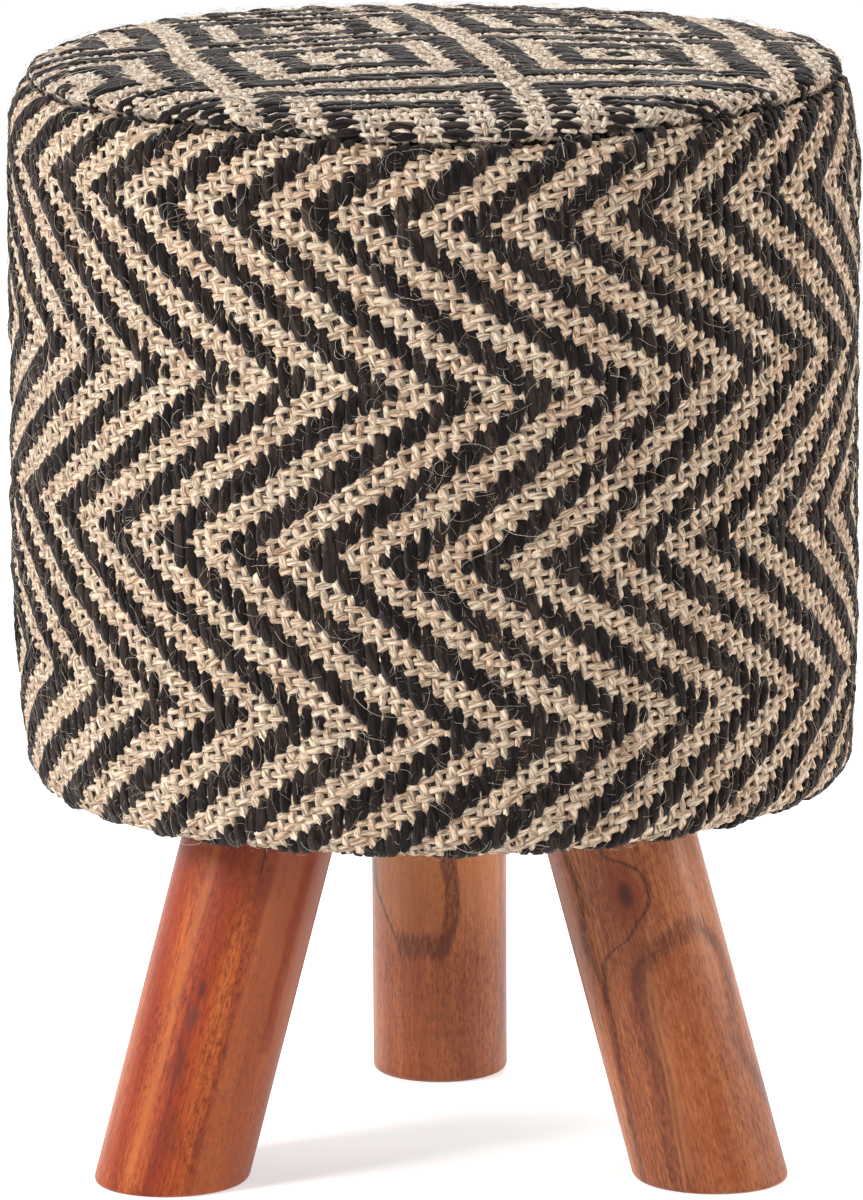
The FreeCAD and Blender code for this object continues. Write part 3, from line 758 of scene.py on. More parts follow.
def lay_band_jute(name, mask, along, size):
    column, pick = band_columns[mask], band_picks[mask]
    middle = band_grid(column + 0.5, pick)
    return lay_jute(name, cloth_place, middle, column if along else pick, along, size)


band_columns, band_picks = np.meshgrid(np.arange(COLUMNS), picks, indexing="ij")
even = (band_columns + band_picks) % 2 == 0
in_front = (band_columns + COLUMNS // 4) % COLUMNS < COLUMNS // 2
jute_pieces = [
    lay_band_jute("band_jute_picks", even & ~(shown & np.roll(shown, -1, 0)), 0, PICK_SIZE),
    lay_band_jute("band_jute_ends_front", ~even & in_front, 1, END_SIZE),
    lay_band_jute("band_jute_ends_back", ~even & ~in_front, 1, END_SIZE),
]

# %% [markdown]
# A wool float covers each unbroken run of face cells in its column, and reaches a little further at
# both ends, to where the next pick holds it down. It leans and its ends slope with the stripe.

# %% Lay the wool of the band
WOOL_SIZE = (1.0, 3.0 * MM, 1.5 * MM, 1.2 * MM, 1.35 * MM)
WOOL_SPREAD = (0.03, 0.07, 0.08, 0.12, 0.12)
WOOL_WANDER = 0.18 * MM
SHORT_IS_THINNER = 0.78
FLOAT_REACH = 2.7 * MM
FLOAT_LEAN = math.radians(5)
FLOAT_SKEW = 1.5 * MM


def runs(mask):
    """Column, start and length of each unbroken run of True down every row of a table."""
    step = np.diff(np.pad(mask, ((0, 0), (1, 1))).astype(int), axis=1)
    rows, starts = np.nonzero(step == 1)
    return rows, starts, np.nonzero(step == -1)[1] - starts


def lay_wool(name, place, middle, along, length, pick, slope, tone, held=1.0, wool_size=WOOL_SIZE):
    """held is how far the ends dive: 1 at a pick, less where a long float only rests on one."""
    count = len(middle)
    size = sized(count, wool_size, WOOL_SPREAD)
    size[0] = size[0] * (length * pick + FLOAT_REACH) / 2
    size[1] = size[1] * np.where(length < 2, SHORT_IS_THINNER, 1)
    size[4] = size[4] * held
    lean = slope * FLOAT_LEAN + np.radians(dice.normal(1, 2, count))
    middle = middle + dice.normal(0, WOOL_WANDER, (count, 2))
    return lay(name, WOOL, place, middle, along, size, lean, tone, slope * FLOAT_SKEW)


column, start, length = runs(shown)
centre = picks[0] + start + (length - 1) / 2
slope = np.where(centre % (2 * HALF_ZIGZAG) < HALF_ZIGZAG, 1, -1) * (length == REPEAT // 2)
places = band_grid(column, centre)
band_wool = lay_wool("band_wool_floats", cloth_place, places, 1, length, PICK, slope, tones(column))

# %% [markdown]
# ## The top panel's weave
# The same yarns, cut from another part of the cloth and turned: here the wool runs across the seat and
# draws nested squares. A square repeats after thirty picks and twenty wool yarns. Its rings are three
# picks or two wool yarns wide, counted from the middle, and even rings are black.

# %% Where the panel's yarns lie
PANEL_PICK = 3.75 * MM
PANEL_COLUMN = 5.25 * MM
PANEL_CROWDING, CROWDED_AFTER = 0.1, 8
PANEL_TURN = math.radians(7.5)
PANEL_SKEW = math.radians(3.8)
PANEL_WOOL_SIZE = (1.0, 2.75 * MM, 1.2 * MM, 0.95 * MM, 1.3 * MM)
PANEL_STRETCH, STRETCH_SPAN = 5 * MM, (60 * MM, 110 * MM)
PANEL_PULL, PULL_MIDDLE = 4.5 * MM, 10 * MM
PULL_BACK_SPAN, PULL_OUT_SPAN = (30 * MM, -40 * MM), (45 * MM, 95 * MM)
PANEL_DRIFT_X = ((0.7 * MM, 0.12, 41), (0.25 * MM, 0.03, 42))
PANEL_DRIFT_Y = ((0.8 * MM, 0.14, 43), (0.25 * MM, 0.03, 44))
SQUARE_PICKS, SQUARE_COLUMNS = 30, 20
SQUARE_MIDDLE = (-36 * MM, -52.5 * MM)
OVER_EDGE = 1.5 * MM
TURN_COS, TURN_SIN = math.cos(PANEL_TURN), math.sin(PANEL_TURN)


def folded(number, repeat):
    """How far a number is from the nearest middle of a repeat."""
    return np.abs((number + repeat / 2) % repeat - repeat / 2)


def ring_number(pick, column):
    """Which ring of its square a cell lies in, from 0 in the middle."""
    across = np.floor((folded(pick, SQUARE_PICKS) + 1.5) / 3)
    return np.maximum(across, np.floor((folded(column, SQUARE_COLUMNS) + 1) / 2)).astype(int)


def panel_grid(pick, column):
    """From pick and column numbers, counted from a square's middle, to a place on the flat round."""
    p, c = pick * PANEL_PICK, column * PANEL_COLUMN * (1 - PANEL_CROWDING * np.tanh(column / CROWDED_AFTER))
    x = SQUARE_MIDDLE[0] + p * TURN_COS - c * math.sin(PANEL_TURN + PANEL_SKEW)
    y = SQUARE_MIDDLE[1] + p * TURN_SIN + c * math.cos(PANEL_TURN + PANEL_SKEW)
    place = np.stack([x, y, np.zeros_like(x)], -1)
    pull = fade(y, *PULL_BACK_SPAN) * fade(np.abs(x - PULL_MIDDLE), *PULL_OUT_SPAN)
    x = x + PANEL_STRETCH * fade(x, *STRETCH_SPAN) - PANEL_PULL * pull
    return np.stack([x + drift(place, *PANEL_DRIFT_X), y + drift(place, *PANEL_DRIFT_Y)], -1)


def panel_weave_place(along_x, along_y, lift):
    """The yarns' own directions are turned against the seat's, so a stitch is bent in turned axes."""
    return panel_place(
        along_x * TURN_COS - along_y * TURN_SIN, along_x * TURN_SIN + along_y * TURN_COS, lift - WEAVE_DEPTH)


def on_panel(places):
    """Which places lie on the panel, and where those are in the yarns' own turned axes."""
    keep = np.hypot(*places.T) < PANEL_REACH - PANEL_TUCK + OVER_EDGE
    x, y = places[keep].T
    return keep, np.stack([x * TURN_COS + y * TURN_SIN, y * TURN_COS - x * TURN_SIN], -1)


def lay_panel_jute(name, mask, along, size):
    column, pick = panel_columns[mask], panel_picks[mask]
    keep, middle = on_panel(panel_grid(pick, column + 0.5))
    yarn = (pick if along else column)[keep]
    return lay_jute(name, panel_weave_place, middle, yarn, along, size, PANEL_SKEW * along)


# %% Lay the panel's yarns
LONGEST_FLOAT = 6
HELD_ON_THE_WAY = 0.45

half_span = int(1.35 * PANEL_REACH / PANEL_PICK) + 8
numbers = np.arange(-half_span, half_span + 1)
panel_columns, panel_picks = np.meshgrid(numbers, numbers, indexing="ij")
panel_shown = ring_number(panel_picks, panel_columns + 0.5) % 2 == 0
pick_on_top = (panel_columns + panel_picks) % 2 == 0
between_floats = panel_shown & np.roll(panel_shown, -1, 0)
panel_jute_pieces = [
    lay_panel_jute("panel_jute_picks", pick_on_top & ~between_floats, 1, PICK_SIZE),
    lay_panel_jute("panel_jute_ends", ~pick_on_top, 0, END_SIZE),
]

# Long floats are held down on the way, so a long run is laid as several shorter ones.
floats = [
    (column, start + i * length / parts, length / parts, 1 if parts == 1 else HELD_ON_THE_WAY)
    for column, start, length in zip(*runs(panel_shown))
    for parts in [math.ceil(length / LONGEST_FLOAT)]
    for i in range(parts)
]
column, start, length, held = np.array(floats).T
keep, middle = on_panel(panel_grid(numbers[0] + start + (length - 1) / 2, column + numbers[0]))
panel_wool = lay_wool(
    "panel_wool_floats", panel_weave_place, middle, 0, length[keep], PANEL_PICK, 0, tones(column[keep]),
    held[keep], PANEL_WOOL_SIZE,
)

# %% [markdown]
# ## Yarn finishes
# Jute is a pale, dry, slightly shiny bast fibre, and wool is matt and nearly black. The shade number of
# each stitch moves its colour a little, and streaks along the yarn, slanted by its twist, stand for the
# separate fibres; their dark parts are painted shade between the fibres. They read the yarn's own UV
# map, so they follow every stitch. Two plies wind round each yarn, with painted shade in the groove
# between them, and painted shade darkens each stitch towards its ends, where the yarn dives.

# %% Jute and wool
FIBRE_SIZE = (0.1, 0.5, 1)
PLIES, PLY_TURNS = 2, 1.3
SHADE_SHARE, PATCH_SHARE, FIBRE_SHARE = 0.32, 0.25, 0.43
YARN_RELIEF = 1.0 * MM


def warm(share):
    """A darkening for painted shade, which keeps more red than blue, as shade does between fibres."""
    return (share, share**1.12, share**1.25)


def yarn_material(name, stops, streak_shade, groove, dive_shade, roughness, sheen, twist):
    others = {"Sheen Weight": sheen, "Sheen Roughness": 0.5, "Specular IOR Level": 0.15}
    look = Finish(name, roughness, others)
    shade = look.node("Attribute", attribute_name="shade").outputs["Fac"]
    uv = look.node("UVMap", uv_map="yarn").outputs["UV"]
    slanted = look.node(
        "Mapping", {"Rotation": (0, 0, twist), "Scale": FIBRE_SIZE, "Vector": uv}, vector_type="TEXTURE")
    fibres = look.noise(slanted.outputs[0], 1.0, 3, 0.65)
    patch = look.noise(look.place(), 45, 2)
    mixed = 0.0
    for value, share in ((shade, SHADE_SHARE), (patch, PATCH_SHARE), (fibres, FIBRE_SHARE)):
        mixed = look.maths("MULTIPLY_ADD", value, share, mixed)
    # Painted shade between the fibres: the low parts of the fibre noise are darkened, partly the fibres' own
    # tone and partly painted shade.
    dark = look.ramp(fibres, (0.4, warm(streak_shade)), (0.49, warm(0.75)), (0.55, WHITE))
    colour = look.darken(look.ramp(mixed, *stops), dark)
    ends = look.node("SeparateXYZ", {0: uv}).outputs
    along = look.maths("FRACT", ends["Y"])
    ply = look.maths("MULTIPLY_ADD", along, PLY_TURNS, look.times(ends["X"], PLIES))
    ply = look.maths("ABSOLUTE", look.maths("SUBTRACT", look.maths("FRACT", ply), 0.5))
    # Painted shade in the groove between the two plies.
    colour = look.darken(colour, look.ramp(ply, (0.02, warm(groove)), (0.16, WHITE)))
    # Painted shade: each stitch darkens towards its ends, where the yarn dives under the cloth.
    dive = look.ramp(along, (0.0, warm(dive_shade)), (0.22, WHITE), (0.78, WHITE), (1.0, warm(dive_shade)))
    relief = look.maths("ADD", fibres, look.times(ply, 1.5))
    return look.done(look.darken(colour, dive), relief, YARN_RELIEF)


# Each finish holds the painted shade's darkness between fibres, in the ply groove and where the yarn dives,
# then roughness, sheen and twist.
JUTE_FINISH = (0.34, 0.62, 0.6, 0.8, 0.18, 0.35)
WOOL_FINISH = (0.25, 0.6, 0.2, 0.95, 0.12, 0.25)
JUTE_TONES = [
    (0.25, srgb(230, 193, 163)), (0.4, srgb(243, 211, 182)), (0.5, srgb(250, 224, 196)),
    (0.6, srgb(252, 230, 203)), (0.78, srgb(255, 243, 222)),
]
WOOL_TONES = [(0.25, srgb(20, 14, 13)), (0.5, srgb(38, 29, 27)), (0.75, srgb(72, 57, 49))]
# Painted sheen: the panel's jute is the same yarn made paler and cooler, for the light that the seat catches
# at a grazing angle.
PANEL_PAINTED_SHEEN = (0.955, 1.02, 1.1)
panel_sheen_tones = [
    (position, tuple(c * t for c, t in zip(colour, PANEL_PAINTED_SHEEN))) for position, colour in JUTE_TONES
]
jute_yarn = yarn_material("jute_yarn", JUTE_TONES, *JUTE_FINISH)
panel_jute_yarn = yarn_material("panel_jute_yarn", panel_sheen_tones, *JUTE_FINISH)
wool_yarn = yarn_material("black_wool_yarn", WOOL_TONES, *WOOL_FINISH)
for pieces, yarn in (
    (jute_pieces, jute_yarn), (panel_jute_pieces, panel_jute_yarn), ((band_wool, panel_wool), wool_yarn),
):
    for piece in pieces:
        finish_piece(piece, yarn, "woven_jute_wool")

# %% [markdown]
# ## Loose fibres
# Jute sheds: pale hairs stand off the whole cover and curl over it, and short ones make every yarn
# fuzzy. Each hair is a very thin closed tube. Its path starts inside the cloth, rises and wanders
# over the surface, and it is passed through the same place functions as the yarns.

# %% Lay fibres
HAIR_SIDES = 3
HAIR_TIP = 0.55
HAIR_BASE = 0.4 * MM
EDGE_MARGIN = 8 * MM


def hair_paths(start, length, rise, curl, joints):
    """Paths on the cloth, one per hair: two directions along it, a height over it, and its heading."""
    count = len(start)
    heading = dice.uniform(0, 2 * math.pi, count)
    bend = dice.normal(0, curl, count)
    way = heading[:, None] + bend[:, None] * np.arange(joints)[None]
    way = way + np.cumsum(dice.normal(0, curl * 0.5, (count, joints)), 1)
    flat = np.stack([np.cos(way), np.sin(way)], -1) * (length / (joints - 1))[:, None, None]
    flat = start[:, None] + np.cumsum(flat, 1) - flat[:, :1]
    t = np.linspace(0, 1, joints)[None]
    return flat, rise[:, None] * np.sin(t * math.pi * dice.uniform(0.5, 1.1, (count, 1))), way


def hairs(name, place, starts, count, length, rise, curl, thick, joints):
    """One mesh of many thin tubes with three sides. length and rise are given as least and most."""
    start = starts(count)
    length, rise = dice.uniform(*length, count), dice.uniform(*rise, count)
    thick = uneven(count, thick, 0.2)
    flat, up, way = hair_paths(start, length, rise, curl, joints)
    around = np.arange(HAIR_SIDES) * 2 * math.pi / HAIR_SIDES
    taper = np.linspace(1, HAIR_TIP, joints)[None, :, None] * thick[:, None, None] / 2
    first = flat[..., :1] - np.sin(way)[..., None] * taper * np.cos(around)
    second = flat[..., 1:] + np.cos(way)[..., None] * taper * np.cos(around)
    points = place(first, second, HAIR_BASE + up[..., None] + taper * np.sin(around))
    ring = np.arange(joints - 1)[:, None] * HAIR_SIDES
    here = np.arange(HAIR_SIDES)[None]
    after = (here + 1) % HAIR_SIDES
    quads = np.stack([ring + here, ring + after, ring + HAIR_SIDES + after, ring + HAIR_SIDES + here], -1)
    one = np.r_[quads.ravel(), [2, 1, 0], (joints - 1) * HAIR_SIDES + np.arange(3)]
    sides = np.r_[np.full((joints - 1) * HAIR_SIDES, 4), 3, 3]
    shade = np.repeat(dice.uniform(0, 1, count), joints * HAIR_SIDES)
    corners = copied(one, count, joints * HAIR_SIDES)
    return mesh_from(name, points.reshape(-1, 3), corners, np.tile(sides, count), shade)


def band_starts(count):
    round_it = dice.uniform(0, 2 * math.pi * BODY_RADIUS, count)
    return np.stack([round_it, dice.uniform(2 * MM, BAND_LENGTH - HEM_WIDTH, count)], -1)


def panel_starts(count):
    reach = np.sqrt(dice.uniform(0, 1, count)) * (PANEL_REACH - EDGE_MARGIN)
    turn = dice.uniform(0, 2 * math.pi, count)
    return np.stack([reach * np.sin(turn), reach * np.cos(turn)], -1)


flyaway = ((7 * MM, 22 * MM), (0.8 * MM, 3.4 * MM), 0.26, 0.15 * MM, 9)
fuzz = ((2.5 * MM, 7 * MM), (0.8 * MM, 1.8 * MM), 0.25, 0.11 * MM, 5)
down = ((2.0 * MM, 6 * MM), (0.7 * MM, 1.5 * MM), 0.3, 0.08 * MM, 4)
on_band, on_seat = (band_place, band_starts), (panel_place, panel_starts)
pale_hairs = [
    hairs("band_pale_flyaways", *on_band, 1700, *flyaway),
    hairs("band_pale_fuzz", *on_band, 6000, *fuzz),
    hairs("band_pale_down", *on_band, 9500, *down),
    hairs("panel_pale_flyaways", *on_seat, 260, *flyaway),
    hairs("panel_pale_fuzz", *on_seat, 1300, *fuzz),
]
dark_hairs = [hairs("band_dark_fuzz", *on_band, 3500, *fuzz), hairs("panel_dark_fuzz", *on_seat, 900, *fuzz)]
for title, pieces, low, high in (
    ("loose_jute_fibre", pale_hairs, srgb(176, 142, 108), srgb(255, 246, 228)),
    ("loose_wool_fibre", dark_hairs, srgb(24, 20, 24), srgb(84, 72, 70)),
):
    look = Finish(title, 0.6)
    shade = look.node("Attribute", attribute_name="shade").outputs["Fac"]
    hair = look.done(look.ramp(shade, (0, low), (1, high)))
    for piece in pieces:
        finish_piece(piece, hair, "woven_jute_wool")

# %% [markdown]
# ## The cloth behind the yarns
# Between the humps one sees down into the cloth, where the wool runs behind. A smooth dark layer
# closes the cover there; its dark brown stands for the wool behind and is also painted shade in the
# holes between the humps. It is one closed shell for the band and one for the panel, each made of
# rings of points down its outside and back up its inside.

# %% Ground of the band and the panel
GROUND_DEPTH = 1.9 * MM
GROUND_THICK = 1.0 * MM
ROUND_STEPS = 180


def shell(name, place, distances, filled=False):
    """A layer of cloth as a closed body. Where it has no hole, both its ends are filled."""
    upper, lower = -GROUND_DEPTH, -GROUND_DEPTH - GROUND_THICK
    rows = [(d, upper) for d in distances] + [(d, lower) for d in distances[::-1]]
    turn = np.linspace(0, 2 * math.pi, ROUND_STEPS, endpoint=False)
    points = [place(turn, distance, lift) for distance, lift in rows]
    j, i = np.meshgrid(np.arange(len(rows) - filled), np.arange(ROUND_STEPS), indexing="ij")
    i2, row, row2 = (i + 1) % ROUND_STEPS, j * ROUND_STEPS, (j + 1) % len(rows) * ROUND_STEPS
    corners = np.stack([row + i, row2 + i, row2 + i2, row + i2], -1).ravel()
    counts = np.full(len(corners) // 4, 4)
    if filled:
        points += [place(np.zeros(1), 0.0, lift) for lift in (upper, lower)]
        ring, last = np.arange(ROUND_STEPS), (len(rows) - 1) * ROUND_STEPS
        after, middle = (ring + 1) % ROUND_STEPS, np.full(ROUND_STEPS, len(rows) * ROUND_STEPS)
        fans = np.stack([middle, ring, after], 1), np.stack([middle + 1, last + after, last + ring], 1)
        corners = np.r_[corners, fans[0].ravel(), fans[1].ravel()]
        counts = np.r_[counts, np.full(2 * ROUND_STEPS, 3)]
    return mesh_from(name, np.concatenate(points), corners, counts)


def band_round(turn, distance, lift):
    return band_place(turn * BODY_RADIUS, distance, lift)


def panel_round(turn, reach, lift):
    return panel_place(reach * np.sin(turn), -reach * np.cos(turn), lift)


band_ground = shell("band_ground_cloth", band_round, np.r_[
    np.linspace(-TURNED_LENGTH, 22 * MM, 10),
    np.linspace(30 * MM, BAND_LENGTH - 66 * MM, 22),
    np.linspace(BAND_LENGTH - 56 * MM, BAND_LENGTH, 14),
])
panel_ground = shell("panel_ground_cloth", panel_round, np.r_[
    np.linspace(4 * MM, 150 * MM, 18), np.linspace(155 * MM, PANEL_REACH, 14),
], filled=True)

look = Finish("woven_ground", 0.95)
fleck = look.noise(look.place(), 420, 3)
# The ground's dark brown: partly the wool behind the face, partly painted shade in the holes.
fleck_colour = look.tinted(fleck, (0.35, 30, 25, 26), (0.55, 52, 42, 36), (0.75, 120, 94, 70))
woven_ground = look.done(fleck_colour, fleck, 0.5 * MM)
finish_piece(band_ground, woven_ground, "woven_jute_wool", "side_cover_band")
finish_piece(panel_ground, woven_ground, "woven_jute_wool", "top_cover_panel")

# %% [markdown]
# ## Padding
# Under the cover lie a foam sheet round the wall, a foam disc on the top board and a layer of fibre
# wadding. Each is a section that is drawn as a line of points and spun round the axis, and then
# settled with the same `soften` as the cloth, so that it never pushes through it.

# %% Spin the padding
UNDER_CLOTH = 4.2 * MM
EASE = 0.3 * MM
SEAM_ROOM = 7 * MM
FOAM_PRESSED = 1.5 * MM
SPIN_STEPS = 120
foam_low, foam_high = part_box("seat_foam")
wrap_low, wrap_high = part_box("side_foam_wrap")
wall_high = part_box("drum_wall")[1]


def spun(name, section):
    """A closed body from a closed section of (radius, height) points, settled like the cloth."""
    count = len(section)
    mesh = bpy.data.meshes.new(name)
    mesh.from_pydata([(r, 0, z) for r, z in section], [(i, (i + 1) % count) for i in range(count)], [])
    piece = add_object(name, mesh)
    work_on(piece)
    edit_all()
    bpy.ops.mesh.spin(
        steps=SPIN_STEPS, angle=2 * math.pi, center=(0, 0, 0), axis=(0, 0, 1), use_auto_merge=True)
    bpy.ops.mesh.select_all(action="SELECT")
    bpy.ops.mesh.remove_doubles(threshold=STEP / 20)
    bpy.ops.mesh.normals_make_consistent(inside=False)
    leave_edit()
    smooth(piece, 40)
    return move_points(piece, soften(points_of(piece)))


inner = wall_high.x + EASE
hem_start = BAND_LENGTH - HEM_WIDTH - HEM_ROUND * math.pi / 2
under_band = np.r_[
    np.linspace(24 * MM, hem_start, 24), np.linspace(hem_start + 2 * MM, hem_start + 10 * MM, 5),
]
outside = [
    (max(r, inner + 1 * MM), max(z, wrap_low.z))
    for r, z in zip(*BAND.read(under_band, -UNDER_CLOTH)) if z < wrap_high.z
]
side_foam = spun("side_foam_wrap_settled", [(inner, wrap_high.z), *outside, (inner, wrap_low.z)])

foam_top = foam_high.z - FOAM_PRESSED
foam_edge = foam_high.x - SEAM_ROOM
seam_low = CREASE_HEIGHT - SEAM_ROOM
seat_foam = spun("seat_foam_disc", [
    (0, foam_low.z), (foam_high.x, foam_low.z), (foam_high.x, CREASE_HEIGHT - 2.2 * SEAM_ROOM),
    (foam_edge, seam_low), (foam_edge, foam_top), (0, foam_top),
])

under_panel = list(zip(*PANEL.read(np.linspace(0, CROWN_REACH + 8 * MM, 40), -UNDER_CLOTH)))
wadding_rim = foam_high.x - 2 * MM
seat_wadding = spun("seat_wadding_layer", [
    *under_panel, (wadding_rim, under_panel[-1][1] - 3 * MM), (wadding_rim, seam_low),
    (foam_edge + EASE, seam_low), (foam_edge + EASE, foam_top + EASE), (0, foam_top + EASE),
])


def mottled(name, low, high, scale, roughness, depth):
    """A matt, slightly uneven finish."""
    look = Finish(name, roughness)
    field = look.noise(look.place(), scale, 4)
    return look.done(look.ramp(field, (0.3, low), (0.7, high)), field, depth)


foam_finish = mottled("upholstery_foam", srgb(226, 208, 150), srgb(240, 226, 178), 500, 0.9, 0.4 * MM)
wadding_finish = mottled("fibre_wadding", srgb(236, 236, 232), srgb(250, 250, 248), 260, 0.95, 0.8 * MM)
finish_piece(side_foam, foam_finish, "foam", "side_foam_wrap")
finish_piece(seat_foam, foam_finish, "foam", "seat_foam")
finish_piece(seat_wadding, wadding_finish, "wadding", "seat_wadding")

# %% [markdown]
# ## Legs
# Each leg is a length of turned branch wood, varnished, leaning out by seventeen degrees, sawn level
# at the top and at the foot, with the foot's edge eased by hand. It is made from a cylinder that is
# turned to its slant, cut level by bisect, and bevelled along the foot's edge.

# %% Model the legs
LEGS = {"leg_left": (210, 31 * MM), "leg_right": (330, 31 * MM), "leg_rear": (90, 28.75 * MM)}
SPLAY = math.radians(17)
TOP_REACH = 78.7 * MM
FOOT_EDGE = 3 * MM
LEG_SIDES = 72
LEG_TOP = UNDERSIDE + 2 * MM
LEG_LENGTH = LEG_TOP / math.cos(SPLAY)
leg_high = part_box("leg_left")[1]
print("leg tops at", round(LEG_TOP, 4), "CAD says", round(leg_high.z, 4))


def leg_axis(azimuth):
    """The middle of a leg's top, and its direction from its top to its foot."""
    out = Vector((math.cos(math.radians(azimuth)), math.sin(math.radians(azimuth)), 0))
    down = (out * math.sin(SPLAY) - Vector((0, 0, 1)) * math.cos(SPLAY)).normalized()
    return out * TOP_REACH + Vector((0, 0, LEG_TOP)), down


def cut_level(height, keep_above):
    bpy.ops.mesh.select_all(action="SELECT")
    bpy.ops.mesh.bisect(
        plane_co=(0, 0, height), plane_no=(0, 0, 1), use_fill=True,
        clear_inner=keep_above, clear_outer=not keep_above,
    )


def model_leg(name, azimuth, radius):
    top, down = leg_axis(azimuth)
    work_on()
    bpy.ops.mesh.primitive_cylinder_add(
        vertices=LEG_SIDES, radius=radius, depth=LEG_LENGTH + 2 * radius, end_fill_type="NGON")
    leg = bpy.context.object
    leg.rotation_euler = down.to_track_quat("-Z", "Y").to_euler()
    leg.location = top + down * (LEG_LENGTH / 2)
    settle(leg, name + "_turned")
    edit_all()
    cut_level(0.0, True)
    cut_level(LEG_TOP, False)
    bpy.ops.mesh.select_all(action="DESELECT")
    leave_edit()
    for edge in leg.data.edges:
        edge.select = all(abs(leg.data.vertices[v].co.z) < STEP / 10 for v in edge.vertices)
    bpy.ops.object.mode_set(mode="EDIT")
    bpy.ops.mesh.select_mode(type="EDGE")
    bpy.ops.mesh.bevel(offset=FOOT_EDGE, segments=5, profile=0.5, affect="EDGES")
    leave_edit()
    return smooth(leg, 35)


legs = {name: model_leg(name, *spec) for name, spec in LEGS.items()}

# %% [markdown]
# The wood's figure comes from how the leg was cut out of the branch. Growth layers reach the surface
# as long dark lines, as an arch where a layer is cut across, and as a loop round a knot. Each line is
# drawn as a curve: how far it lies across the leg for every height along it, in the leg's own turned
# axes. Because the curve fills the leg's depth as well, it comes out on the back like a real layer.
#
# All places below are in millimetres: (height along the leg, distance across it) for lines and spots,
# (distance across, height) for arches. After them come a line's half width and soft edge, or how
# tall and wide a spot is, and then the strength and the colour.

# %% Wood finish
HALF_LEG = 32 * MM
WOBBLE = 1.5 * MM
FRINGE = 6 * MM
STREAKS = ((0.36, (0.7, 0.6, 0.54)), (0.5, (0.92, 0.89, 0.87)), (0.6, WHITE))
DASHES = ((0.34, (0.54, 0.42, 0.36)), (0.46, (0.85, 0.79, 0.75)), (0.56, WHITE))
GRAIN = ((0.39, (0.46, 0.34, 0.28)), (0.48, (0.82, 0.76, 0.72)), (0.56, WHITE))
CLOUDS = ((0.4, BLACK), (0.56, WHITE))
LINE_ENDS, ARCH_ENDS = 6 * MM, 3 * MM
LEAST_BROKEN = 0.5


class Wood(Finish):
    """Varnished wood with figure drawn in the leg's own axes."""

    def __init__(self, name, azimuth):
        super().__init__(name, 0.45, {
            "Specular IOR Level": 0.25, "Coat Weight": 0.15, "Coat Roughness": 0.25,
        })
        top, down = leg_axis(azimuth)
        across = (Vector((1, 0, 0)) - down * down.x).normalized()
        axes = Matrix((across, across.cross(down), -down)).transposed().to_euler()
        source = self.node("TexCoord").outputs["Object"]
        self.local = self.node("Mapping", {
            "Location": top + down * LEG_LENGTH, "Rotation": axes, "Vector": source,
        }, vector_type="TEXTURE").outputs[0]
        parts = self.node("SeparateXYZ", {0: self.local}).outputs
        self.across, self.up = self.offset(parts["X"], WOBBLE, 0.4, 90, 3), parts["Z"]
        self.fringed = self.offset(self.up, FRINGE, 0.02, 900, 1)

    def stretched(self, shorter, scale, detail, roughness=0.55):
        place = self.node("Mapping", {"Scale": (1, 1, shorter), "Vector": self.local}).outputs[0]
        return self.noise(place, scale, detail, roughness)

    def offset(self, value, size, *field):
        return self.maths("ADD", value, self.maths("MULTIPLY_ADD", self.stretched(*field), 2 * size, -size))

    def curve(self, value, points, in_size, out_size):
        """Looks up a drawn curve. Its points are (in, out) in millimetres, out centred on zero."""
        made = self.node("FloatCurve", {"Value": self.maths("DIVIDE", value, in_size)})
        drawn = made.mapping.curves[0].points
        places = sorted((v * MM / in_size, out * MM / out_size / 2 + 0.5) for v, out in points)
        while len(drawn) < len(places):
            drawn.new(0.5, 0.5)
        for point, place in zip(drawn, places):
            point.location = place
        made.mapping.update()
        return self.maths("MULTIPLY_ADD", made.outputs[0], 2 * out_size, -out_size)

    def near(self, value, target, half, soft):
        """One within half of the target, falling to zero over soft."""
        gap = self.maths("ABSOLUTE", self.maths("SUBTRACT", value, target))
        share = self.maths("DIVIDE", self.maths("SUBTRACT", half + soft, gap), soft)
        return self.maths("MINIMUM", self.maths("MAXIMUM", share, 0.0), 1.0)

    def drawn(self, value, target, half, soft, along, points, ends):
        """Where a drawn line shows: close to its curve, and between its first and last point."""
        low, high = min(p[0] for p in points) * MM, max(p[0] for p in points) * MM
        within = self.near(along, (low + high) / 2, (high - low) / 2, ends)
        return self.times(self.times(self.near(value, target, half * MM, soft * MM), within), self.broken)

    def line(self, points, half, soft):
        target = self.curve(self.up, points, LEG_LENGTH, HALF_LEG)
        return self.drawn(self.across, target, half, soft, self.up, points, LINE_ENDS)

    def arch(self, points, half, soft):
        shifted = [(u + HALF_LEG / MM, w - LEG_LENGTH / MM / 2) for u, w in points]
        target = self.curve(self.maths("ADD", self.across, HALF_LEG), shifted, 2 * HALF_LEG, LEG_LENGTH / 2)
        centred = self.maths("SUBTRACT", self.fringed, LEG_LENGTH / 2)
        return self.drawn(centred, target, half, soft, self.across, points, ARCH_ENDS)

    def spot(self, place, tall, wide):
        squares = [
            self.maths("POWER", self.maths("DIVIDE", self.maths("SUBTRACT", value, v * MM), size * MM), 2.0)
            for value, v, size in ((self.across, place[1], wide), (self.up, place[0], tall))
        ]
        return self.maths("MAXIMUM", self.maths("SUBTRACT", 1.0, self.maths("ADD", *squares)), 0.0)

    def paint(self, colour, draw, *marks):
        """Lays marks of one kind over the colour."""
        for *shape, strength, shade in marks:
            colour = self.blend(self.times(draw(*shape), strength), colour, shade)
        return colour


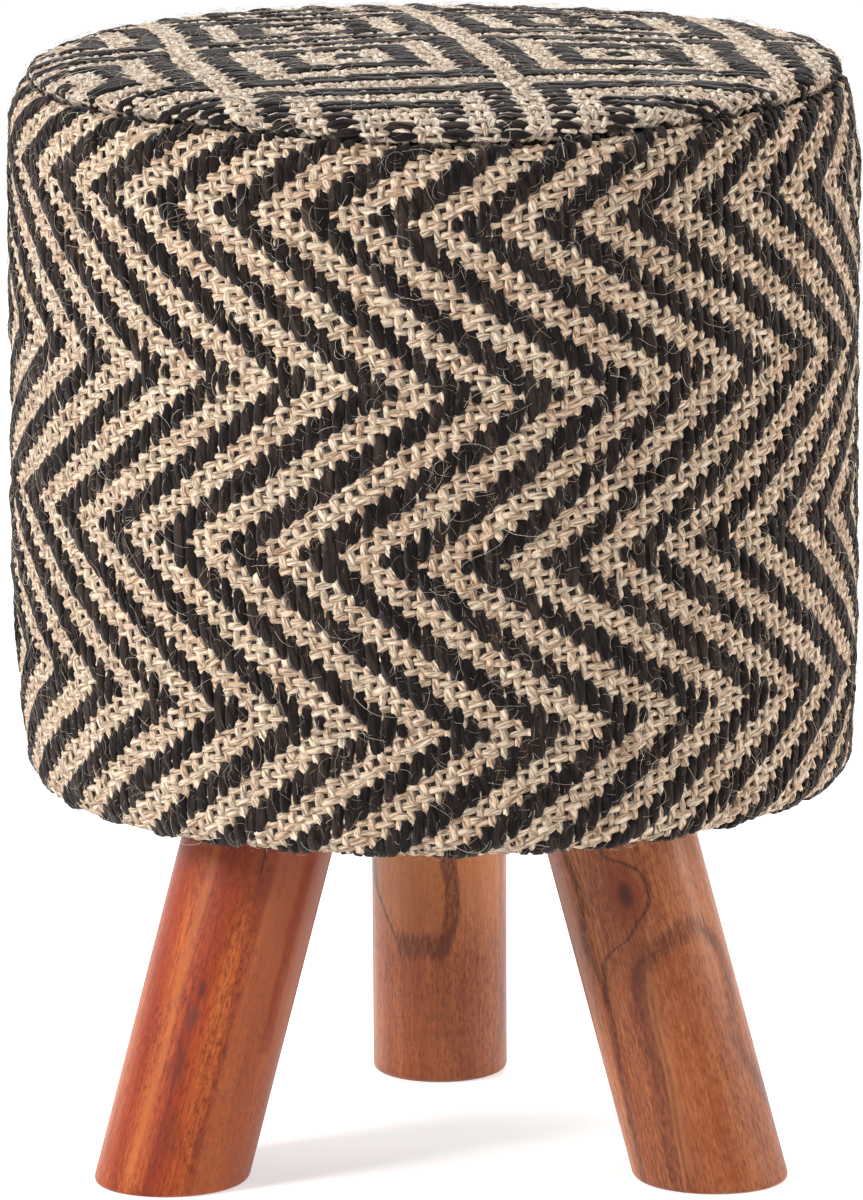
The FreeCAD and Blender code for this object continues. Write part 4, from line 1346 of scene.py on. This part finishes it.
def wood_material(name, leg, varnish, speckle, wood_tones, lines, arches, spots):
    look = Wood(name, LEGS[leg][0])
    pores = look.stretched(0.2, 1150, 3, 0.6)
    broken = look.maths("MAXIMUM", look.maths("MULTIPLY_ADD", pores, -2.5, 2.05), LEAST_BROKEN)
    look.broken = look.maths("MINIMUM", broken, 1.0)
    tones_here = zip((0.3, 0.46, 0.6, 0.75), (srgb(*tone) for tone in wood_tones))
    colour = look.ramp(look.stretched(0.07, 75, 4), *tones_here)
    colour = look.darken(colour, look.ramp(look.stretched(0.05, 520, 4, 0.65), *STREAKS), 0.85)
    colour = look.darken(colour, look.ramp(pores, *DASHES), 0.9)
    grained = look.darken(colour, look.ramp(look.stretched(0.45, 620, 5, 0.75), *GRAIN))
    cloud = look.times(look.ramp(look.stretched(0.3, 45, 2), *CLOUDS), speckle)
    colour = look.blend(cloud, colour, grained)
    colour = look.paint(colour, look.spot, *spots)
    colour = look.paint(colour, look.line, *lines)
    colour = look.paint(colour, look.arch, *arches)
    return look.done(look.darken(colour, varnish), pores, 0.1 * MM)


def beside(points, offsets, *rest):
    """The same drawn line again, shifted across the leg by each offset: the growth layers next to it."""
    return [([(w, u + offset) for w, u in points], *rest) for offset in offsets]


DARK_LINE = srgb(74, 32, 22)
SOFT_DARK = srgb(100, 48, 34)
WARM = srgb(150, 66, 28)
PALE = srgb(206, 150, 104)
ARCH_SIDE = [(97, -1.9), (90, -9.5), (79, -11.5), (65, -12.5), (47, -12.3), (23, -14.7), (2, -16.6)]
EDGE_LAYER = [
    (172, -24), (146, -23.7), (129, -22.8), (107, -25.3), (91, -22.8), (59, -24.5), (30, -26.3), (2, -27.6),
]
KNOT_LAYER = [
    (146, -9.6), (143, -9.1), (136, -0.4), (127, 5.2), (121, 4.9), (112, -1.9), (106, -7.9), (103, -14.8),
    (99, -19.2), (91, -21.4), (83, -22.9),
]
RIGHT_LAYER = [(97, 25.8), (89, 27.6), (76, 26.9), (61, 24.8), (48, 25.3), (37, 28.3), (26, 30.8)]
RIGHT_ARCH = [(-10, 90), (-1.9, 97), (8, 101), (14.4, 103), (21.3, 103.5), (25.8, 97)]
REAR_LEFT = [(172, -29), (106, -27.5), (97, -27.1), (88, -23.7), (79, -19.3), (72, -17)]
REAR_RIGHT = [(172, 26.8), (107, 26.6), (40, 26.5), (17, 24.4), (13, 18.9), (11, 13.4)]
red_wood = wood_material(
    "varnished_red_wood", "leg_left", (1.05, 1.06, 0.8), 1.0,
    [(146, 48, 20), (174, 74, 34), (200, 104, 54), (212, 126, 76)],
    lines=[
        # The first line is a painted reflection: a paler strip down the leg where the varnish mirrors a
        # lamp.
        ([(0, 20), (172, 20)], 9.5, 3, 0.55, srgb(188, 104, 72)),
        ([(143, 23.2), (113, 23), (89, 23.3), (66, 23.9)], 1.2, 1.8, 0.7, srgb(136, 40, 18)),
        ([(172, 8.5), (110, 8.3), (81, 8), (52, 7.7), (5, 7.4)], 0.6, 1.6, 0.45, srgb(120, 40, 22)),
        ([(172, -14), (84, -16.2), (45, -16), (3, -17.6)], 0.7, 1.6, 0.4, srgb(214, 126, 70)),
        ([(172, -24), (81, -25.4), (42, -25.2), (3, -25.4)], 2.4, 3, 0.55, srgb(140, 40, 20)),
        ([(146, 3.8), (142, 4), (135, 4.4)], 0.2, 0.5, 0.9, srgb(50, 20, 14)),
    ],
    arches=[],
    spots=[
        ((82, -7.3), 6, 2.2, 0.85, srgb(84, 30, 22)),
        ((70, -8.1), 7, 3.4, 0.6, srgb(86, 48, 44)),
        ((126, 4), 10, 8, 0.4, srgb(104, 44, 26)),
        ((48, -8.7), 12, 5, 0.45, srgb(92, 40, 20)),
        ((20, -6), 14, 7, 0.35, srgb(100, 46, 26)),
        # The last spot is painted shade: the leg's top is darkened where the drum shades it.
        ((172, 0), 75, 70, 0.75, srgb(126, 44, 20)),
    ],
)
brown_wood = wood_material(
    "varnished_brown_wood", "leg_right", (1.06, 1.02, 0.78), 0.6,
    [(150, 82, 54), (172, 102, 70), (190, 122, 88), (204, 142, 106)],
    lines=[
        ([(95, 5), (60, 5), (20, 6), (0, 8)], 4.5, 6, 0.5, WARM),
        ([(96, -3), (79, -6), (47, -6.5), (8, -10)], 1.6, 3, 0.22, PALE),
        (EDGE_LAYER, 0.6, 1.4, 0.85, DARK_LINE),
        *beside(EDGE_LAYER, (2.4, 4.6), 0.25, 0.9, 0.5, SOFT_DARK),
        (KNOT_LAYER, 0.45, 1.1, 0.85, DARK_LINE),
        (ARCH_SIDE, 0.7, 1.4, 0.95, SOFT_DARK),
        *beside(ARCH_SIDE[1:], (1.9, 3.6), 0.45, 0.9, 0.85, SOFT_DARK),
        *beside(ARCH_SIDE[2:], (-2.2, 6.2), 0.3, 0.9, 0.6, SOFT_DARK),
        (RIGHT_LAYER, 1.0, 2.2, 0.8, SOFT_DARK),
        *beside([(70, -18), (40, -19.5), (2, -21.5)], (0, 1.7), 0.3, 1.0, 0.55, SOFT_DARK),
    ],
    arches=[(RIGHT_ARCH, 1.8, 4.5, 0.9, SOFT_DARK)],
    spots=[
        ((124, -4.1), 17, 10, 0.8, srgb(126, 50, 26)),
        ((124, -4.1), 7, 4, 0.95, srgb(64, 22, 14)),
    ],
)
rear_wood = wood_material(
    "varnished_pink_wood", "leg_rear", (1.0, 0.9, 0.64), 0.7,
    [(148, 80, 50), (168, 98, 64), (182, 114, 80), (194, 132, 98)],
    lines=[
        ([(172, 2.5), (117, 4.2), (105, 5.4), (93, 5.3), (82, 3.5), (73, 0.5)], 2.6, 1.3, 0.95, SOFT_DARK),
        (REAR_LEFT, 0.35, 0.9, 0.85, DARK_LINE),
        (REAR_RIGHT, 0.5, 1.2, 0.55, SOFT_DARK),
    ],
    arches=[([(-17, 74.5), (-6.8, 75.5), (0, 76.5), (4, 78)], 3.4, 4.2, 0.95, SOFT_DARK)],
    spots=[
        # The first spot is a painted highlight: it lightens the top of the leg, which lies in the drum's
        # shade.
        ((185, 0), 120, 90, 0.6, srgb(240, 168, 124)),
        ((15, 0), 80, 60, 0.3, srgb(128, 70, 44)),
        ((42, -2), 3, 8, 0.4, srgb(110, 70, 44)),
        ((34, 0), 3, 10, 0.35, srgb(110, 62, 40)),
    ],
)
finish_piece(legs["leg_left"], red_wood, "leg_wood_red", "leg_left")
finish_piece(legs["leg_right"], brown_wood, "leg_wood_brown", "leg_right")
finish_piece(legs["leg_rear"], rear_wood, "leg_wood_brown", "leg_rear")

# %% [markdown]
# ## Dust cover
# Under the seat a thin black non-woven cloth hides the raw hem and the board. It is cut as a round,
# laid flat against the board, pinched by the three leg tops and stapled over the hem, so it steps
# down a little at its lap and sags by a millimetre between the legs. A circle is drawn and its edge
# is extruded inwards ring by ring, then the rings get their heights and Solidify gives the thickness.

# %% Dust cover
DUST_SIDES = 120
DUST_THICK = 0.4 * MM
DUST_SAG = 1.0 * MM
DUST_RIPPLE = (0.12 * MM, 0.03, 91)
DUST_EASE, LAP_LIFT = 0.2 * MM, 0.15 * MM
DUST_TOP = LEG_TOP + 0.05 * MM
STEP_OUTER, STEP_INNER = 125.2 * MM, 119 * MM
LEG_PINCH = 35 * MM
dust_low, dust_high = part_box("dust_cover")


def draw_round(name, radii):
    """A flat round of rings about the axis, drawn from its edge inwards."""
    work_on()
    bpy.ops.mesh.primitive_circle_add(vertices=DUST_SIDES, radius=radii[0], fill_type="NOTHING")
    piece = bpy.context.object
    edit_all()
    for outer, inner in zip(radii, radii[1:]):
        bpy.ops.mesh.extrude_edges_move()
        bpy.ops.transform.resize(value=(inner / outer, inner / outer, 1), center_override=(0, 0, 0))
    bpy.ops.mesh.merge(type="CENTER")
    bpy.ops.mesh.select_all(action="SELECT")
    bpy.ops.mesh.normals_make_consistent(inside=False)
    leave_edit()
    return settle(piece, name)


def dust_height(x, y):
    """The height of the cover's lower face: flat, sagging away from the legs, stepping to its lap."""
    radius = np.hypot(x, y)
    sag = fade(radius, STEP_INNER, STEP_INNER - 30 * MM)
    for azimuth, _ in LEGS.values():
        top = leg_axis(azimuth)[0]
        sag = sag * fade(np.hypot(x - top.x, y - top.y), LEG_PINCH, LEG_PINCH + 25 * MM)
    step = fade(radius, STEP_INNER, STEP_OUTER)
    ripple = drift(np.stack([x, y], -1), DUST_RIPPLE) * step
    return DUST_TOP - DUST_SAG * sag - step * (DUST_TOP - dust_low.z - LAP_LIFT) + ripple


edge = dust_high.x - DUST_EASE
rings = [*np.linspace(edge, STEP_OUTER, 7), *np.linspace(STEP_INNER + 3 * MM, 6 * MM, 24)]
dust_cover = draw_round("dust_cover_sheet", [float(r) for r in rings])
places = points_of(dust_cover)
places[:, 2] = dust_height(places[:, 0], places[:, 1])
work_on(move_points(dust_cover, places))
thick = dust_cover.modifiers.new("thickness", "SOLIDIFY")
thick.thickness = DUST_THICK
thick.offset = -1 if dust_cover.data.polygons[0].normal.z < 0 else 1
bpy.ops.object.modifier_apply(modifier=thick.name)
smooth(dust_cover, 40)

# Black polypropylene felt with the dimples of its hot roller.
look = Finish("black_nonwoven", 0.85)
fibre = look.noise(look.place(), 900, 4, 0.7, 1.5)
dimples = look.node("TexVoronoi", {"Scale": 620, "Randomness": 0.25, "Vector": look.place()})
dents = look.ramp(dimples.outputs["Distance"], (0.15, BLACK), (0.3, WHITE))
felt = look.darken(look.tinted(fibre, (0.35, 22, 22, 24), (0.6, 52, 52, 55)), dents, 0.4)
nonwoven = look.done(felt, look.maths("ADD", dents, fibre), 0.3 * MM)
finish_piece(dust_cover, nonwoven, "nonwoven_black", "dust_cover")

# %% [markdown]
# ## Finishes of the hidden frame
# The boards, posts, wall, bolts, tee nuts and staples keep their construction shapes, which are
# right, and get finishes: layered plywood, pressed hardboard, pine, zinc-plated and galvanised steel.

# %% Hidden frame finishes
PLY_LAYER = 1.5 * MM


def dress(material, *names):
    """Gives construction pieces a better finish and leaves their meshes alone."""
    for name in names:
        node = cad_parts[name]
        if not node.material_slots:
            node.data.materials.append(material)
        for place in node.material_slots:
            place.material = material
    print(material.name, "on", ", ".join(names))


def plywood_material():
    """Long pale grain on the faces, and the thin layers in turn on the edge."""
    look = Finish("poplar_plywood", 0.7)
    face = look.noise(look.place((1, 14, 1)), 30, 4, 0.6, 0.6)
    veneer = look.tinted(face, (0.3, 184, 146, 98), (0.5, 214, 182, 134), (0.7, 228, 202, 160))
    height = look.node("SeparateXYZ", {0: look.place()}).outputs["Z"]
    layer = look.maths("DIVIDE", look.maths("PINGPONG", height, PLY_LAYER), PLY_LAYER)
    layers = look.tinted(layer, (0.4, 150, 108, 66), (0.6, 222, 192, 146))
    normal = look.node("NewGeometry").outputs["Normal"]
    tilt = look.maths("ABSOLUTE", look.node("SeparateXYZ", {0: normal}).outputs["Z"])
    flat = look.ramp(tilt, (0.3, BLACK), (0.7, WHITE))
    return look.done(look.blend(flat, layers, veneer), face, 0.3 * MM)


def pine_material():
    look = Finish("pine_batten", 0.65)
    grain = look.noise(look.place((1, 1, 0.05)), 160, 3, 0.55, 0.8)
    colour = look.tinted(grain, (0.36, 176, 126, 72), (0.48, 226, 190, 138), (0.62, 238, 210, 164))
    return look.done(colour, grain, 0.3 * MM)


def steel_material(name, low, high, scale, roughness):
    """Bare or plated steel, with the clouded surface that dipping or plating leaves."""
    look = Finish(name, roughness, {"Metallic": 1.0})
    field = look.noise(look.place(), scale, 3)
    worn = look.ramp(field, (0.3, (roughness + 0.12,) * 3), (0.7, (roughness - 0.08,) * 3))
    look.put(look.shader.inputs["Roughness"], worn)
    return look.done(look.ramp(field, (0.35, low), (0.65, high)), field, 0.05 * MM)


hardboard = mottled("pressed_hardboard", srgb(104, 70, 44), srgb(142, 100, 66), 700, 0.6, 0.2 * MM)
zinc = steel_material("zinc_plated_steel", srgb(168, 170, 172), srgb(204, 206, 204), 240, 0.34)
wire = steel_material("galvanised_wire", srgb(156, 158, 160), srgb(192, 194, 196), 400, 0.42)
dress(plywood_material(), "base_board", "top_board")
dress(hardboard, "drum_wall")
dress(pine_material(), *(f"frame_post_{number}" for number in range(1, 5)))
dress(zinc, "hanger_bolts", "tee_nuts")
dress(wire, "post_staples_base", "post_staples_top", "cover_staples", "dust_cover_staples", "wall_staples")

# %% [markdown]
# ## Sizes
# The visual model's box is worked out beside the construction's box, and printed. The visual model
# has to stay inside the construction's box, apart from what cloth may stand proud.

# %% The two boxes
low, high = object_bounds()
json.dumps({
    "cad": [list(cad_low), list(cad_high)],
    "visual": [list(low), list(high)],
})
print("visual box:", [round(v, 4) for v in low], [round(v, 4) for v in high])
